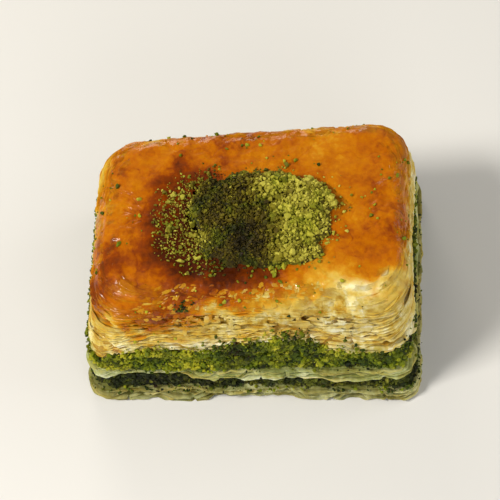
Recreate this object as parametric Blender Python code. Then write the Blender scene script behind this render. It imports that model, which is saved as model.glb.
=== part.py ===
"""A piece of pistachio baklava, modelled in Blender.

Three stacks of pastry sheets have two layers of ground pistachio between them, and a heap of ground
pistachio lies on the browned top. Each stack, each nut layer and the heap is a solid of its own, and
runs through the whole piece.

Metres, +Z up. The origin is under the middle of the piece, on the plane that it stands on. The front,
a long cut side, faces -Y. The left side leans in most and the right side stands almost upright.
"""

import math
import random

import bmesh
import bpy
from mathutils import Euler, Vector, noise

MM = 0.001

# The whole piece, at its foot. The cut is out of square, so the back runs off to the rear at the right
WIDTH = 49.6 * MM
DEPTH = 34.8 * MM
FOOT_CORNER_RADIUS = 2.6 * MM
BACK_SKEW = 0.07

# Heights where one layer gives way to the next
LOWER_NUTS_FROM = 2.4 * MM
MIDDLE_PASTRY_FROM = 5.4 * MM
UPPER_NUTS_FROM = 7.4 * MM
TOP_PASTRY_FROM = 11.6 * MM
SHOULDER_FROM = 20.4 * MM
CRUST_HEIGHT = 25.3 * MM
GAP = 0.3 * MM

# How far each wall has come in by the height where the shoulder starts, and the shoulder's own run
LEAN_LEFT = 2.8 * MM
LEAN_RIGHT = 0.9 * MM
LEAN_FRONT = 3.4 * MM
LEAN_BACK = 1.6 * MM
SHOULDER_LEFT = 4.6 * MM
SHOULDER_RIGHT = 2.4 * MM
SHOULDER_FRONT = 4.2 * MM
SHOULDER_BACK = 3.0 * MM
TOP_CORNER_RADIUS = 5.6 * MM

# Points round the wall, and the ring inside it from which a hidden seam is flat
LONG_SIDE_STEPS = 21
SHORT_SIDE_STEPS = 14
CORNER_STEPS = 3
FLAT_INSIDE = 3.2 * MM

# How far each layer stands out from the wall's line, or lies back from it
FOOT_SPREAD = 0.35 * MM
FOOT_DRAWN_IN = 0.75 * MM
FOOT_ROUNDING = 0.5 * MM
LOWER_NUTS_BACK = 0.7 * MM
LOWER_NUTS_BACK_AT_FRONT_LEFT = 0.6 * MM
LOWER_NUTS_HOLLOW = 0.9 * MM
LOWER_NUTS_HOLLOW_LENGTH = 7 * MM
MIDDLE_SPREAD = 0.15 * MM
UPPER_NUTS_BACK = 0.25 * MM

# Unevenness of the seams and the walls
SEAM_WAVE = 0.55 * MM
SEAM_WAVE_LENGTH = 8 * MM
NUT_HUMP_X = 6.0 * MM
NUT_HUMP_RISE = 2.0 * MM
NUT_HUMP_HALF_WIDTH = 6.5 * MM
NUT_PINCH_X = -24 * MM
NUT_PINCH_DROP = 1.5 * MM
NUT_PINCH_HALF_WIDTH = 6 * MM
WALL_WAVE = 0.45 * MM
WALL_WAVE_LENGTH = 11 * MM
SHEET_RIDGE = 0.32 * MM
SHEET_RIDGE_LENGTH = 6 * MM
NUT_RIDGE = 0.35 * MM
CRUST_WAVE = 0.55 * MM
CRUST_WAVE_LENGTH = 9 * MM

# Rings of points up each layer's side, round the shoulder, and inward over the top
THIN_LAYER_STEPS = 2
THICK_LAYER_STEPS = 3
TOP_STACK_STEPS = 8
SHOULDER_SHARES = (0.22, 0.44, 0.66, 0.84, 1.0)
CRUST_INSETS = (2.0 * MM, 4.2 * MM, 6.4 * MM)

# The heap on top: its middle, half sizes and height
HEAP_X = 1.4 * MM
HEAP_Y = -0.9 * MM
HEAP_HALF_WIDTH = 12.8 * MM
HEAP_HALF_DEPTH = 8.2 * MM
HEAP_SQUARENESS = 2.5
HEAP_THICKNESS = 1.5 * MM
HEAP_EDGE_HEIGHT = 0.5 * MM
HEAP_STEPS = 36
HEAP_OUTLINE_WAVE = 0.09
HEAP_OUTLINE_WAVE_LENGTH = 0.55
HEAP_BUMP = 0.35 * MM
HEAP_BUMP_LENGTH = 2.6 * MM
HEAP_SEAT_MARGIN = 2.4 * MM
HEAP_FOOT_SHARE = 0.93
HEAP_EDGE_SHARE = 0.97
HEAP_SHARES = (0.86, 0.68, 0.48, 0.26)
HEAP_CROWN_SHARE = 0.08

# Pieces of nut that are large enough to show by themselves
HEAP_GRAINS = 72
UPPER_NUT_GRAINS = 46
LOWER_NUT_GRAINS = 14
CRUST_GRAINS = 12
GRAIN_RADIUS_SMALL = 0.5 * MM
GRAIN_RADIUS_LARGE = 0.95 * MM
CRUST_GRAIN_RADIUS_LARGE = 0.75 * MM
GRAIN_REACH = 1.25
EDGE_GRAIN_SPACING = 1.7 * MM
HEAP_GRAIN_SPACING = 1.7 * MM
CRUST_GRAIN_SPACING = 4 * MM
CRUST_GRAIN_SHARES = (0.66, 0.84, 1.0)
CRUST_GRAIN_INSET = 3 * MM
DRAWS_FOR_EACH_GRAIN = 40
GRAIN_SEED = 31

# Places in the noise, one for each kind of unevenness
WALL_NOISE = 3.7
RIDGE_NOISE = 9.1
HOLLOW_NOISE = 5.5
CRUST_NOISE = 2.3
HEAP_OUTLINE_NOISE = 1.2
HEAP_BUMP_NOISE = 6.4

# Colours as seen, red, green and blue from 0 to 255, and roughness
CRUST_COLOUR = (186, 104, 22)
CRUST_ROUGHNESS = 0.3
MIDDLE_PASTRY_COLOUR = (176, 172, 116)
BOTTOM_PASTRY_COLOUR = (168, 158, 96)
PASTRY_ROUGHNESS = 0.45
HEAP_COLOUR = (82, 78, 16)
UPPER_NUT_COLOUR = (104, 106, 22)
LOWER_NUT_COLOUR = (52, 58, 18)
NUT_ROUGHNESS = 0.6


def remove_everything():
    for old in list(bpy.data.objects):
        bpy.data.objects.remove(old, do_unlink=True)


def new_collection(name):
    collection = bpy.data.collections.new(name)
    bpy.context.scene.collection.children.link(collection)
    return collection


def linear(colour):
    """A colour as seen, as the linear values that Blender's shaders take."""
    values = []
    for channel in colour:
        share = channel / 255
        if share <= 0.04045:
            values.append(share / 12.92)
        else:
            values.append(((share + 0.055) / 1.055) ** 2.4)
    return (*values, 1.0)


def food_material(name, colour, roughness):
    material = bpy.data.materials.new(name)
    material.use_nodes = True
    shader = material.node_tree.nodes["Principled BSDF"]
    shader.inputs["Base Color"].default_value = linear(colour)
    shader.inputs["Roughness"].default_value = roughness
    shader.inputs["Metallic"].default_value = 0.0
    return material


def wavy(x, y, z, wave_length, where):
    """Smooth noise from -1 to 1, read at one of the places in the noise."""
    return noise.noise(Vector((x, y, z)) / wave_length + Vector((where, where, where)))


def rounded_ring(left, right, front, back, radius):
    """The points of a rounded rectangle, anticlockwise from the left end of its front side."""
    corners = [
        (right - radius, front + radius, -90),
        (right - radius, back - radius, 0),
        (left + radius, back - radius, 90),
        (left + radius, front + radius, 180),
    ]
    points = []
    for number, (centre_x, centre_y, first_angle) in enumerate(corners):
        before_x, before_y, before_angle = corners[number - 1]
        straight_end = Vector((centre_x, centre_y)) + turned(radius, first_angle)
        straight_start = Vector((before_x, before_y)) + turned(radius, before_angle + 90)
        steps = SHORT_SIDE_STEPS if number % 2 else LONG_SIDE_STEPS
        for step in range(steps):
            points.append(straight_start.lerp(straight_end, step / steps))
        for step in range(CORNER_STEPS):
            angle = first_angle + 90 * step / CORNER_STEPS
            points.append(Vector((centre_x, centre_y)) + turned(radius, angle))
    return [Vector((point.x, point.y + skewed(point))) for point in points]


def skewed(point):
    """How far the cut's slant moves a point to the rear: not at all at the front, most at the back."""
    return BACK_SKEW * point.x * (0.5 + point.y / DEPTH)


def turned(length, degrees):
    angle = math.radians(degrees)
    return Vector((length * math.cos(angle), length * math.sin(angle)))


def wall_ring(height, inset=0.0):
    """The wall's outline at a height, or that outline drawn in by an inset."""
    share = height / SHOULDER_FROM
    return rounded_ring(
        -WIDTH / 2 + LEAN_LEFT * share**2 + inset,
        WIDTH / 2 - LEAN_RIGHT * share - inset,
        -DEPTH / 2 + LEAN_FRONT * share + inset,
        DEPTH / 2 - LEAN_BACK * share - inset,
        FOOT_CORNER_RADIUS + (TOP_CORNER_RADIUS - FOOT_CORNER_RADIUS) * share,
    )


def wall_point(number, height, inset):
    """A point of the wall by its number round the ring, drawn in by an inset."""
    outer = wall_ring(height)[number]
    inner = wall_ring(height, FLAT_INSIDE)[number]
    point = outer.lerp(inner, inset / FLAT_INSIDE)
    return Vector((point.x, point.y, height))


def seam_height(level, x, y):
    """A seam's height at the wall. The upper nuts swell at one place and thin out at a corner."""
    height = level + SEAM_WAVE * wavy(x, y, level, SEAM_WAVE_LENGTH, level / MM)
    if level == TOP_PASTRY_FROM:
        frontness = max(0.0, -y / (DEPTH / 2))
        swell = math.exp(-(((x - NUT_HUMP_X) / NUT_HUMP_HALF_WIDTH) ** 2))
        pinch = math.exp(-(((x - NUT_PINCH_X) / NUT_PINCH_HALF_WIDTH) ** 2))
        height += frontness * (NUT_HUMP_RISE * swell - NUT_PINCH_DROP * pinch)
    return height


def seam_ring(level, inset, gap):
    """A ring of points on a seam. Its waves fade out towards the flat inside."""
    points = []
    for number, place in enumerate(wall_ring(level)):
        flatness = inset / FLAT_INSIDE
        height = level + (seam_height(level, place.x, place.y) - level) * (1 - flatness)
        point = wall_point(number, level, inset)
        points.append(Vector((point.x, point.y, height + gap)))
    return points


def wall_inset(x, y, height, step, ridge):
    """How far the wall stands in at a point: slow waves, and sheet edges in and out by turns."""
    slow = WALL_WAVE * wavy(x, y, height, WALL_WAVE_LENGTH, WALL_NOISE)
    way = 1 if step % 2 else -1
    uneven = 0.5 + wavy(x, y, step * SHEET_RIDGE_LENGTH, SHEET_RIDGE_LENGTH, RIDGE_NOISE)
    return slow + ridge * way * uneven


def side_rings(low_ring, high_ring, steps, edge_inset, ridge):
    """Rings up a layer's side, from the ring of its lower edge to that of its upper edge."""
    rings = []
    for step in range(steps + 1):
        ring = []
        for number, (low, high) in enumerate(zip(low_ring, high_ring)):
            height = low.z + (high.z - low.z) * step / steps
            x, y = wall_ring(height)[number]
            inset = edge_inset(x, y, height) + wall_inset(x, y, height, step, ridge)
            ring.append(wall_point(number, height, inset))
        rings.append(ring)
    return rings


def extruded_stack(name, rings, collection):
    """A closed solid: the first ring is a face, which is extruded to each next ring in turn."""
    shape = bmesh.new()
    bmesh.ops.create_circle(shape, cap_ends=True, segments=len(rings[0]), radius=1.0)
    bottom = shape.faces[:][0]
    for corner, place in zip(bottom.verts, rings[0]):
        corner.co = place
    top = bottom
    for ring in rings[1:]:
        result = bmesh.ops.extrude_face_region(shape, geom=[top])
        if top is not bottom:
            shape.faces.remove(top)
        top = next(item for item in result["geom"] if isinstance(item, bmesh.types.BMFace))
        for corner, place in zip(top.verts, ring):
            corner.co = place
    bmesh.ops.recalc_face_normals(shape, faces=shape.faces[:])
    bmesh.ops.triangulate(shape, faces=shape.faces[:])
    mesh = bpy.data.meshes.new(name)
    shape.to_mesh(mesh)
    shape.free()
    body = bpy.data.objects.new(name, mesh)
    collection.objects.link(body)
    return body


def add_grain(collection, place, radius, draw):
    """One piece of nut: a low icosphere, squashed and turned by the draw."""
    shape = bmesh.new()
    bmesh.ops.create_icosphere(shape, subdivisions=1, radius=radius)
    stretch = Vector((draw.uniform(0.8, 1.25), draw.uniform(0.8, 1.1), draw.uniform(0.7, 0.95)))
    bmesh.ops.scale(shape, verts=shape.verts[:], vec=stretch)
    mesh = bpy.data.meshes.new("grain")
    shape.to_mesh(mesh)
    shape.free()
    grain = bpy.data.objects.new("grain", mesh)
    grain.location = place
    grain.rotation_euler = Euler([draw.uniform(0, math.tau) for _ in range(3)])
    collection.objects.link(grain)


def fuse_grains(body, grains):
    """Join a collection of grains to a body with one Boolean union, and remove their objects."""
    union = body.modifiers.new("grains", "BOOLEAN")
    union.operation = "UNION"
    union.operand_type = "COLLECTION"
    union.collection = grains
    union.solver = "EXACT"
    bpy.context.view_layer.objects.active = body
    bpy.ops.object.modifier_apply(modifier=union.name)
    for grain in list(grains.objects):
        bpy.data.objects.remove(grain, do_unlink=True)
    bpy.data.collections.remove(grains)
    keep_outer_shell(body)


def keep_outer_shell(body):
    """Fill a hollow that the union has sealed and drop a loose scrap: the largest shell stays."""
    shape = bmesh.new()
    shape.from_mesh(body.data)
    bmesh.ops.triangulate(shape, faces=shape.faces[:])
    waiting = set(shape.verts)
    shells = []
    while waiting:
        shell = set()
        front = [waiting.pop()]
        while front:
            corner = front.pop()
            shell.add(corner)
            for edge in corner.link_edges:
                other = edge.other_vert(corner)
                if other in waiting:
                    waiting.discard(other)
                    front.append(other)
        shells.append(shell)
    shells.sort(key=len)
    for shell in shells[:-1]:
        bmesh.ops.delete(shape, geom=list(shell), context="VERTS")
    shape.to_mesh(body.data)
    shape.free()


def spread_places(count, draw, candidate, spacing):
    """Draw places until there are enough, none nearer to another than the spacing."""
    places = []
    for _ in range(count * DRAWS_FOR_EACH_GRAIN):
        place = candidate(draw)
        if place is None:
            continue
        if all((place - other).length > spacing for other in places):
            places.append(place)
        if len(places) == count:
            break
    return places


def edge_grains(low_level, high_level, count, inset, seed):
    """Pieces of nut in the side of a nut layer, kept between its two seams."""
    grains = bpy.data.collections.new("grains")
    draw = random.Random(seed)
    ring_size = len(wall_ring(low_level))

    def candidate(draw):
        number = draw.randrange(ring_size)
        x, y = wall_ring(low_level)[number]
        room_low = seam_height(low_level, x, y) + GAP + GRAIN_RADIUS_LARGE
        room_high = seam_height(high_level, x, y) - GAP - GRAIN_RADIUS_LARGE
        if room_low >= room_high:
            return None
        return wall_point(number, draw.uniform(room_low, room_high), inset)

    for place in spread_places(count, draw, candidate, EDGE_GRAIN_SPACING):
        add_grain(grains, place, draw.uniform(GRAIN_RADIUS_SMALL, GRAIN_RADIUS_LARGE), draw)
    return grains


def make_bottom_pastry(collection):
    """The bottom sheets spread a little past the wall above them, and are drawn in at the foot."""

    def edge_inset(x, y, height):
        return FOOT_DRAWN_IN * math.exp(-height / FOOT_ROUNDING) - FOOT_SPREAD

    underside = [Vector((point.x, point.y, 0.0)) for point in wall_ring(0.0)]
    upper_edge = seam_ring(LOWER_NUTS_FROM, 0.0, -GAP / 2)
    rings = side_rings(underside, upper_edge, THICK_LAYER_STEPS, edge_inset, SHEET_RIDGE)
    rings.append(seam_ring(LOWER_NUTS_FROM, FLAT_INSIDE, -GAP / 2))
    return extruded_stack("bottom_pastry", rings, collection)


def layer_between(low_level, high_level, steps, edge_inset, ridge):
    """The rings of a layer between two seams, whose hidden faces are flat."""
    rings = [seam_ring(low_level, FLAT_INSIDE, GAP / 2)]
    lower_edge = seam_ring(low_level, 0.0, GAP / 2)
    upper_edge = seam_ring(high_level, 0.0, -GAP / 2)
    rings += side_rings(lower_edge, upper_edge, steps, edge_inset, ridge)
    rings.append(seam_ring(high_level, FLAT_INSIDE, -GAP / 2))
    return rings


def make_lower_pistachio(collection):
    """The lower nuts lie back from the wall, most of all on the left half of the front."""

    def edge_inset(x, y, height):
        hollow = wavy(x, y, 0.0, LOWER_NUTS_HOLLOW_LENGTH, HOLLOW_NOISE)
        front_left = LOWER_NUTS_BACK_AT_FRONT_LEFT if x < 0 and y < 0 else 0.0
        return LOWER_NUTS_BACK + front_left + LOWER_NUTS_HOLLOW * max(0.0, hollow)

    levels = (LOWER_NUTS_FROM, MIDDLE_PASTRY_FROM)
    rings = layer_between(*levels, THIN_LAYER_STEPS, edge_inset, NUT_RIDGE)
    body = extruded_stack("lower_pistachio", rings, collection)
    fuse_grains(body, edge_grains(*levels, LOWER_NUT_GRAINS, LOWER_NUTS_BACK, GRAIN_SEED))
    return body


def make_middle_pastry(collection):
    """The thin stack between the two nut layers stands out a little from both."""

    def edge_inset(x, y, height):
        return -MIDDLE_SPREAD

    levels = (MIDDLE_PASTRY_FROM, UPPER_NUTS_FROM)
    rings = layer_between(*levels, THIN_LAYER_STEPS, edge_inset, SHEET_RIDGE)
    return extruded_stack("middle_pastry", rings, collection)


def make_upper_pistachio(collection):
    """The upper nuts swell out of the front, with crumbs that stand proud."""

    def edge_inset(x, y, height):
        return UPPER_NUTS_BACK

    levels = (UPPER_NUTS_FROM, TOP_PASTRY_FROM)
    rings = layer_between(*levels, THICK_LAYER_STEPS, edge_inset, NUT_RIDGE)
    body = extruded_stack("upper_pistachio", rings, collection)
    fuse_grains(body, edge_grains(*levels, UPPER_NUT_GRAINS, 0.0, GRAIN_SEED + 1))
    return body


def in_heap_seat(x, y, margin):
    """Whether a place on the crust is under the heap, or within a margin of it."""
    across = abs(x - HEAP_X) / (HEAP_HALF_WIDTH * (1 + HEAP_OUTLINE_WAVE) + margin)
    along = abs(y - HEAP_Y) / (HEAP_HALF_DEPTH * (1 + HEAP_OUTLINE_WAVE) + margin)
    return across**HEAP_SQUARENESS + along**HEAP_SQUARENESS < 1


def crust_height(x, y):
    """The top's height away from its shoulder: gentle waves, but a flat seat under the heap."""
    if in_heap_seat(x, y, HEAP_SEAT_MARGIN):
        return CRUST_HEIGHT
    return CRUST_HEIGHT - CRUST_WAVE * abs(wavy(x, y, 0.0, CRUST_WAVE_LENGTH, CRUST_NOISE))


def shoulder_ring(share, inward=0.0):
    """A ring on the rounded shoulder, from 0 at the wall to 1 at the top, or inward on the top."""
    angle = share * math.pi / 2
    run = 1 - math.cos(angle)
    ring = rounded_ring(
        -WIDTH / 2 + LEAN_LEFT + SHOULDER_LEFT * run + inward,
        WIDTH / 2 - LEAN_RIGHT - SHOULDER_RIGHT * run - inward,
        -DEPTH / 2 + LEAN_FRONT + SHOULDER_FRONT * run + inward,
        DEPTH / 2 - LEAN_BACK - SHOULDER_BACK * run - inward,
        TOP_CORNER_RADIUS,
    )
    points = []
    for place in ring:
        height = SHOULDER_FROM + (crust_height(place.x, place.y) - SHOULDER_FROM) * math.sin(angle)
        points.append(Vector((place.x, place.y, height)))
    return points


def make_top_pastry(collection):
    """The tall top stack: flaky sides, a rounded shoulder and a browned top with a few crumbs."""

    def edge_inset(x, y, height):
        return 0.0

    rings = [seam_ring(TOP_PASTRY_FROM, FLAT_INSIDE, GAP / 2)]
    lower_edge = seam_ring(TOP_PASTRY_FROM, 0.0, GAP / 2)
    upper_edge = [Vector((point.x, point.y, SHOULDER_FROM)) for point in wall_ring(SHOULDER_FROM)]
    rings += side_rings(lower_edge, upper_edge, TOP_STACK_STEPS, edge_inset, SHEET_RIDGE)
    rings += [shoulder_ring(share) for share in SHOULDER_SHARES]
    rings += [shoulder_ring(1.0, inward) for inward in CRUST_INSETS]
    body = extruded_stack("top_pastry", rings, collection)

    grains = bpy.data.collections.new("grains")
    draw = random.Random(GRAIN_SEED + 2)

    def candidate(draw):
        ring = shoulder_ring(draw.choice(CRUST_GRAIN_SHARES), draw.uniform(0, CRUST_GRAIN_INSET))
        place = draw.choice(ring)
        if in_heap_seat(place.x, place.y, HEAP_SEAT_MARGIN):
            return None
        return place

    for place in spread_places(CRUST_GRAINS, draw, candidate, CRUST_GRAIN_SPACING):
        add_grain(grains, place, draw.uniform(GRAIN_RADIUS_SMALL, CRUST_GRAIN_RADIUS_LARGE), draw)
    fuse_grains(body, grains)
    return body


def heap_ring(share, height, bumpy):
    """A ring of the heap: its uneven, rather square outline drawn in to a share of its size."""
    points = []
    for step in range(HEAP_STEPS):
        angle = math.tau * step / HEAP_STEPS
        cosine = math.cos(angle)
        sine = math.sin(angle)
        square = abs(cosine) ** HEAP_SQUARENESS + abs(sine) ** HEAP_SQUARENESS
        wave = 1 + HEAP_OUTLINE_WAVE * wavy(
            cosine, sine, 0.0, HEAP_OUTLINE_WAVE_LENGTH, HEAP_OUTLINE_NOISE
        )
        reach = share * wave * square ** (-1 / HEAP_SQUARENESS)
        x = HEAP_X + HEAP_HALF_WIDTH * reach * cosine
        y = HEAP_Y + HEAP_HALF_DEPTH * reach * sine
        if bumpy:
            bump = HEAP_BUMP * wavy(x, y, 0.0, HEAP_BUMP_LENGTH, HEAP_BUMP_NOISE)
        else:
            bump = 0.0
        points.append(Vector((x, y, CRUST_HEIGHT + GAP + height + bump)))
    return points


def make_pistachio_heap(collection):
    """The heap on top: a low bumpy core, and the pieces of nut that show fused on to it."""
    core_thickness = HEAP_THICKNESS - HEAP_BUMP
    rings = [
        heap_ring(HEAP_FOOT_SHARE, 0.0, bumpy=False),
        heap_ring(HEAP_EDGE_SHARE, HEAP_EDGE_HEIGHT, bumpy=False),
    ]
    for share in HEAP_SHARES:
        rings.append(heap_ring(share, core_thickness * (1 - share**3), bumpy=True))
    rings.append(heap_ring(HEAP_CROWN_SHARE, core_thickness, bumpy=False))
    body = extruded_stack("pistachio_heap", rings, collection)

    grains = bpy.data.collections.new("grains")
    draw = random.Random(GRAIN_SEED + 3)

    def candidate(draw):
        share = math.sqrt(draw.uniform(0.0, HEAP_FOOT_SHARE))
        ring = heap_ring(share, core_thickness * (1 - share**3), bumpy=True)
        return draw.choice(ring)

    for place in spread_places(HEAP_GRAINS, draw, candidate, HEAP_GRAIN_SPACING):
        radius = draw.uniform(GRAIN_RADIUS_SMALL, GRAIN_RADIUS_LARGE)
        place.z = max(place.z, CRUST_HEIGHT + GAP + radius * GRAIN_REACH)
        add_grain(grains, place, radius, draw)
    fuse_grains(body, grains)
    return body


def centre_on_origin(bodies):
    """Move every mesh so that the origin is under the middle of the whole piece."""
    corners = [corner.co for body in bodies for corner in body.data.vertices]
    middle_x = (min(co.x for co in corners) + max(co.x for co in corners)) / 2
    middle_y = (min(co.y for co in corners) + max(co.y for co in corners)) / 2
    for body in bodies:
        for corner in body.data.vertices:
            corner.co.x -= middle_x
            corner.co.y -= middle_y


def main():
    remove_everything()
    piece = new_collection("baklava_piece")
    finishes = {
        "bottom_pastry": (BOTTOM_PASTRY_COLOUR, PASTRY_ROUGHNESS),
        "lower_pistachio": (LOWER_NUT_COLOUR, NUT_ROUGHNESS),
        "middle_pastry": (MIDDLE_PASTRY_COLOUR, PASTRY_ROUGHNESS),
        "upper_pistachio": (UPPER_NUT_COLOUR, NUT_ROUGHNESS),
        "top_pastry": (CRUST_COLOUR, CRUST_ROUGHNESS),
        "pistachio_heap": (HEAP_COLOUR, NUT_ROUGHNESS),
    }
    bodies = [
        make_bottom_pastry(piece),
        make_lower_pistachio(piece),
        make_middle_pastry(piece),
        make_upper_pistachio(piece),
        make_top_pastry(piece),
        make_pistachio_heap(piece),
    ]
    centre_on_origin(bodies)
    for body in bodies:
        colour, roughness = finishes[body.name]
        body.data.materials.append(food_material(body.name, colour, roughness))


main()
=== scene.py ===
# %% [markdown]
# # A piece of pistachio baklava
#
# Baklava is a stack of very thin pastry sheets, brushed with butter, filled with ground pistachio,
# baked, soaked in syrup and cut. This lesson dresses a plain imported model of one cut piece: the sheets
# that show at its cut sides, the browned top, the two nut layers and the heap of ground nuts on top.
#
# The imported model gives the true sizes, so the first step opens it and keeps its outer box.

import math

import bmesh
import bpy
import numpy as np
from mathutils import Matrix, Vector


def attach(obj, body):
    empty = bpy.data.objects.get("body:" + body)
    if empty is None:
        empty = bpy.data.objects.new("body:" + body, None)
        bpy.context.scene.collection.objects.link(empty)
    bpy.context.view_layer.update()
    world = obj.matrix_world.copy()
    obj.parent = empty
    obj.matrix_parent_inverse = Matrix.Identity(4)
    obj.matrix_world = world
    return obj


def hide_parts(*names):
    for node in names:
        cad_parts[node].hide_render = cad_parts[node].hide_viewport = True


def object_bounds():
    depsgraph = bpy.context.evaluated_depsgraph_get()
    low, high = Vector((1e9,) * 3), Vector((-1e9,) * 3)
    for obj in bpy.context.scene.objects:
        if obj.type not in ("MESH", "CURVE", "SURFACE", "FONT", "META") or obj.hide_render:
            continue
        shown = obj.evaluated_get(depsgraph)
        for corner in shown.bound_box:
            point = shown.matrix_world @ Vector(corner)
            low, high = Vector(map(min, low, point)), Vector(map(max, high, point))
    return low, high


MM = 0.001
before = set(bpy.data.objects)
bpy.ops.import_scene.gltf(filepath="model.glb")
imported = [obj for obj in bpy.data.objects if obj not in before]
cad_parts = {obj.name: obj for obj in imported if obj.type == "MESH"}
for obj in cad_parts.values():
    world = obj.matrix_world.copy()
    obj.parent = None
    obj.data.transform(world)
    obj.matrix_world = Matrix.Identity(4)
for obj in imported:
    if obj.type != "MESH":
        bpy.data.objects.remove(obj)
packed_low, packed_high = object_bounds()
print("packed size in mm:", [round(side / MM, 1) for side in packed_high - packed_low])

# %% [markdown]
# ## The wall's line
#
# Every layer of the piece follows one wall: a rounded rectangle that leans in as it rises, and whose
# back edge slants because the cut is out of square. It could be traced layer by layer, but a single
# function that gives the wall's place for any point round it and any height keeps the layers true to
# each other. A point round the wall is a column: two weights that say which corners it lies between,
# and the direction in which the wall faces there.

# %% Sizes of the wall and heights of the layers
WIDTH = 49.6 * MM
DEPTH = 34.8 * MM
BACK_SKEW = 0.07
MIDDLE_Y = -0.85 * MM
FOOT_CORNER_RADIUS = 2.6 * MM
TOP_CORNER_RADIUS = 5.6 * MM
LOWER_NUTS_FROM = 2.8 * MM
MIDDLE_PASTRY_FROM = 5.6 * MM
UPPER_NUTS_FROM = 7.7 * MM
TOP_PASTRY_FROM = 12.1 * MM
SHOULDER_FROM = 20.4 * MM
CRUST_HEIGHT = 25.3 * MM
LEAN = {"left": 2.8 * MM, "right": 0.9 * MM, "front": 3.4 * MM, "back": 1.6 * MM}
SHOULDER = {"left": 4.6 * MM, "right": 2.4 * MM, "front": 4.2 * MM, "back": 3.0 * MM}
LONG_SIDE_COLUMNS = 168
SHORT_SIDE_COLUMNS = 118
CORNER_COLUMNS = 14
ALL = slice(None)


def wall_columns():
    """Weights and facing directions of the columns, anticlockwise from the front's left end."""
    columns = []
    corners = ((1, 0), (1, 1), (0, 1), (0, 0))
    for number, (right, back) in enumerate(corners):
        before_right, before_back = corners[number - 1]
        facing = math.radians(90 * (number - 1))
        steps = SHORT_SIDE_COLUMNS if number % 2 else LONG_SIDE_COLUMNS
        for share in np.arange(steps) / steps:
            weight_x = before_right + (right - before_right) * share
            weight_y = before_back + (back - before_back) * share
            columns.append((weight_x, weight_y, math.cos(facing), math.sin(facing)))
        for share in np.arange(CORNER_COLUMNS) / CORNER_COLUMNS:
            angle = facing + share * math.pi / 2
            columns.append((right, back, math.cos(angle), math.sin(angle)))
    return np.array(columns).T


COLUMN_X, COLUMN_Y, FACING_X, FACING_Y = wall_columns()
COLUMN_COUNT = len(COLUMN_X)
EVEN = np.ones(COLUMN_COUNT)


def outline(share, run, inset, columns):
    """Points round the piece, one for each of the columns.

    The share of the shoulder's height sets how far the sides lean in. The run, from 0 to 1, is how
    far the shoulder has bent in, and the inset draws all sides in alike.
    """
    left = -WIDTH / 2 + LEAN["left"] * share**2 + SHOULDER["left"] * run + inset
    right = WIDTH / 2 - LEAN["right"] * share - SHOULDER["right"] * run - inset
    front = -DEPTH / 2 + LEAN["front"] * share + SHOULDER["front"] * run + inset
    back = DEPTH / 2 - LEAN["back"] * share - SHOULDER["back"] * run - inset
    radius = FOOT_CORNER_RADIUS + (TOP_CORNER_RADIUS - FOOT_CORNER_RADIUS) * share
    share_x, share_y = COLUMN_X[columns], COLUMN_Y[columns]
    x = share_x * (right - radius) + (1 - share_x) * (left + radius) + radius * FACING_X[columns]
    y = share_y * (back - radius) + (1 - share_y) * (front + radius) + radius * FACING_Y[columns]
    return x, y + BACK_SKEW * x * (0.5 + y / DEPTH) + MIDDLE_Y


def wall(height, inset=0.0, columns=ALL):
    """The wall's line at a height, which may be a number or an array with a value a column."""
    return outline(height / SHOULDER_FROM, 0.0, inset, columns)


def stacked(x, y, z):
    """Points from their three coordinates, which are stretched to one shape."""
    return np.stack(np.broadcast_arrays(x, y, z), axis=-1).astype(float)


def wall_points(height, out, inset=0.0, columns=ALL):
    """Points on the wall's line at a height, pushed out of it by this much."""
    x, y = wall(height, inset, columns)
    return stacked(x + FACING_X[columns] * out, y + FACING_Y[columns] * out, height)


print("columns round the wall:", COLUMN_COUNT)

# %% [markdown]
# ## Unevenness
#
# Food has no straight line in it, so nearly every size below is disturbed by noise. Blender's own
# noise is read one point at a time. Here a few hundred thousand points need it, so this one works on
# whole arrays: it gives each corner of a lattice a fixed random value and blends between the corners.
# Each use of it gives a pattern number, so that different kinds of unevenness don't line up.

# %% Noise for arrays of points
HASH_FACTORS = (73856093, 19349663, 83492791, 39916801)
HASH_SCRAMBLE = 1274126177
HASH_SHIFTS = (13, 16)
HASH_SIZE = 2**32
PATTERNS_BETWEEN_OCTAVES = 17


def lattice_value(cell, pattern):
    """A fixed random value from -1 to 1 for each whole-numbered cell corner."""
    mixed = pattern * HASH_FACTORS[3]
    for axis in range(3):
        mixed = mixed ^ (cell[..., axis] * HASH_FACTORS[axis])
    mixed = mixed % HASH_SIZE
    for shift in HASH_SHIFTS:
        mixed = ((mixed ^ (mixed >> shift)) * HASH_SCRAMBLE) % HASH_SIZE
    return mixed / HASH_SIZE * 2 - 1


def wavy(points, length, pattern, octaves=1):
    """Smooth noise from about -1 to 1 over points, in waves of this length.

    The length may also be one for each axis. Each further octave adds waves of half the length and
    half the height.
    """
    scaled = np.asarray(points) / np.asarray(length)
    total = 0.0
    for octave in range(octaves):
        place = scaled * 2**octave
        cell = np.floor(place).astype(np.int64)
        part = place - cell
        part = part * part * (3 - 2 * part)
        value = 0.0
        for corner in np.ndindex(2, 2, 2):
            weight = np.prod(np.where(corner, part, 1 - part), axis=-1)
            shifted = pattern + PATTERNS_BETWEEN_OCTAVES * octave
            value = value + weight * lattice_value(cell + np.array(corner), shifted)
        total = total + value / 2**octave
    return total


def smooth_step(low, high, value):
    """A share that eases from 0 at low to 1 at high, which may also be the smaller of the two."""
    share = np.clip((value - low) / (high - low), 0, 1)
    return share * share * (3 - 2 * share)


three_points = stacked(np.arange(3) * MM, 0.0, 0.0)
print("noise at three points 1 mm apart:", wavy(three_points, 2.5 * MM, pattern=1).round(2))

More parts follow.
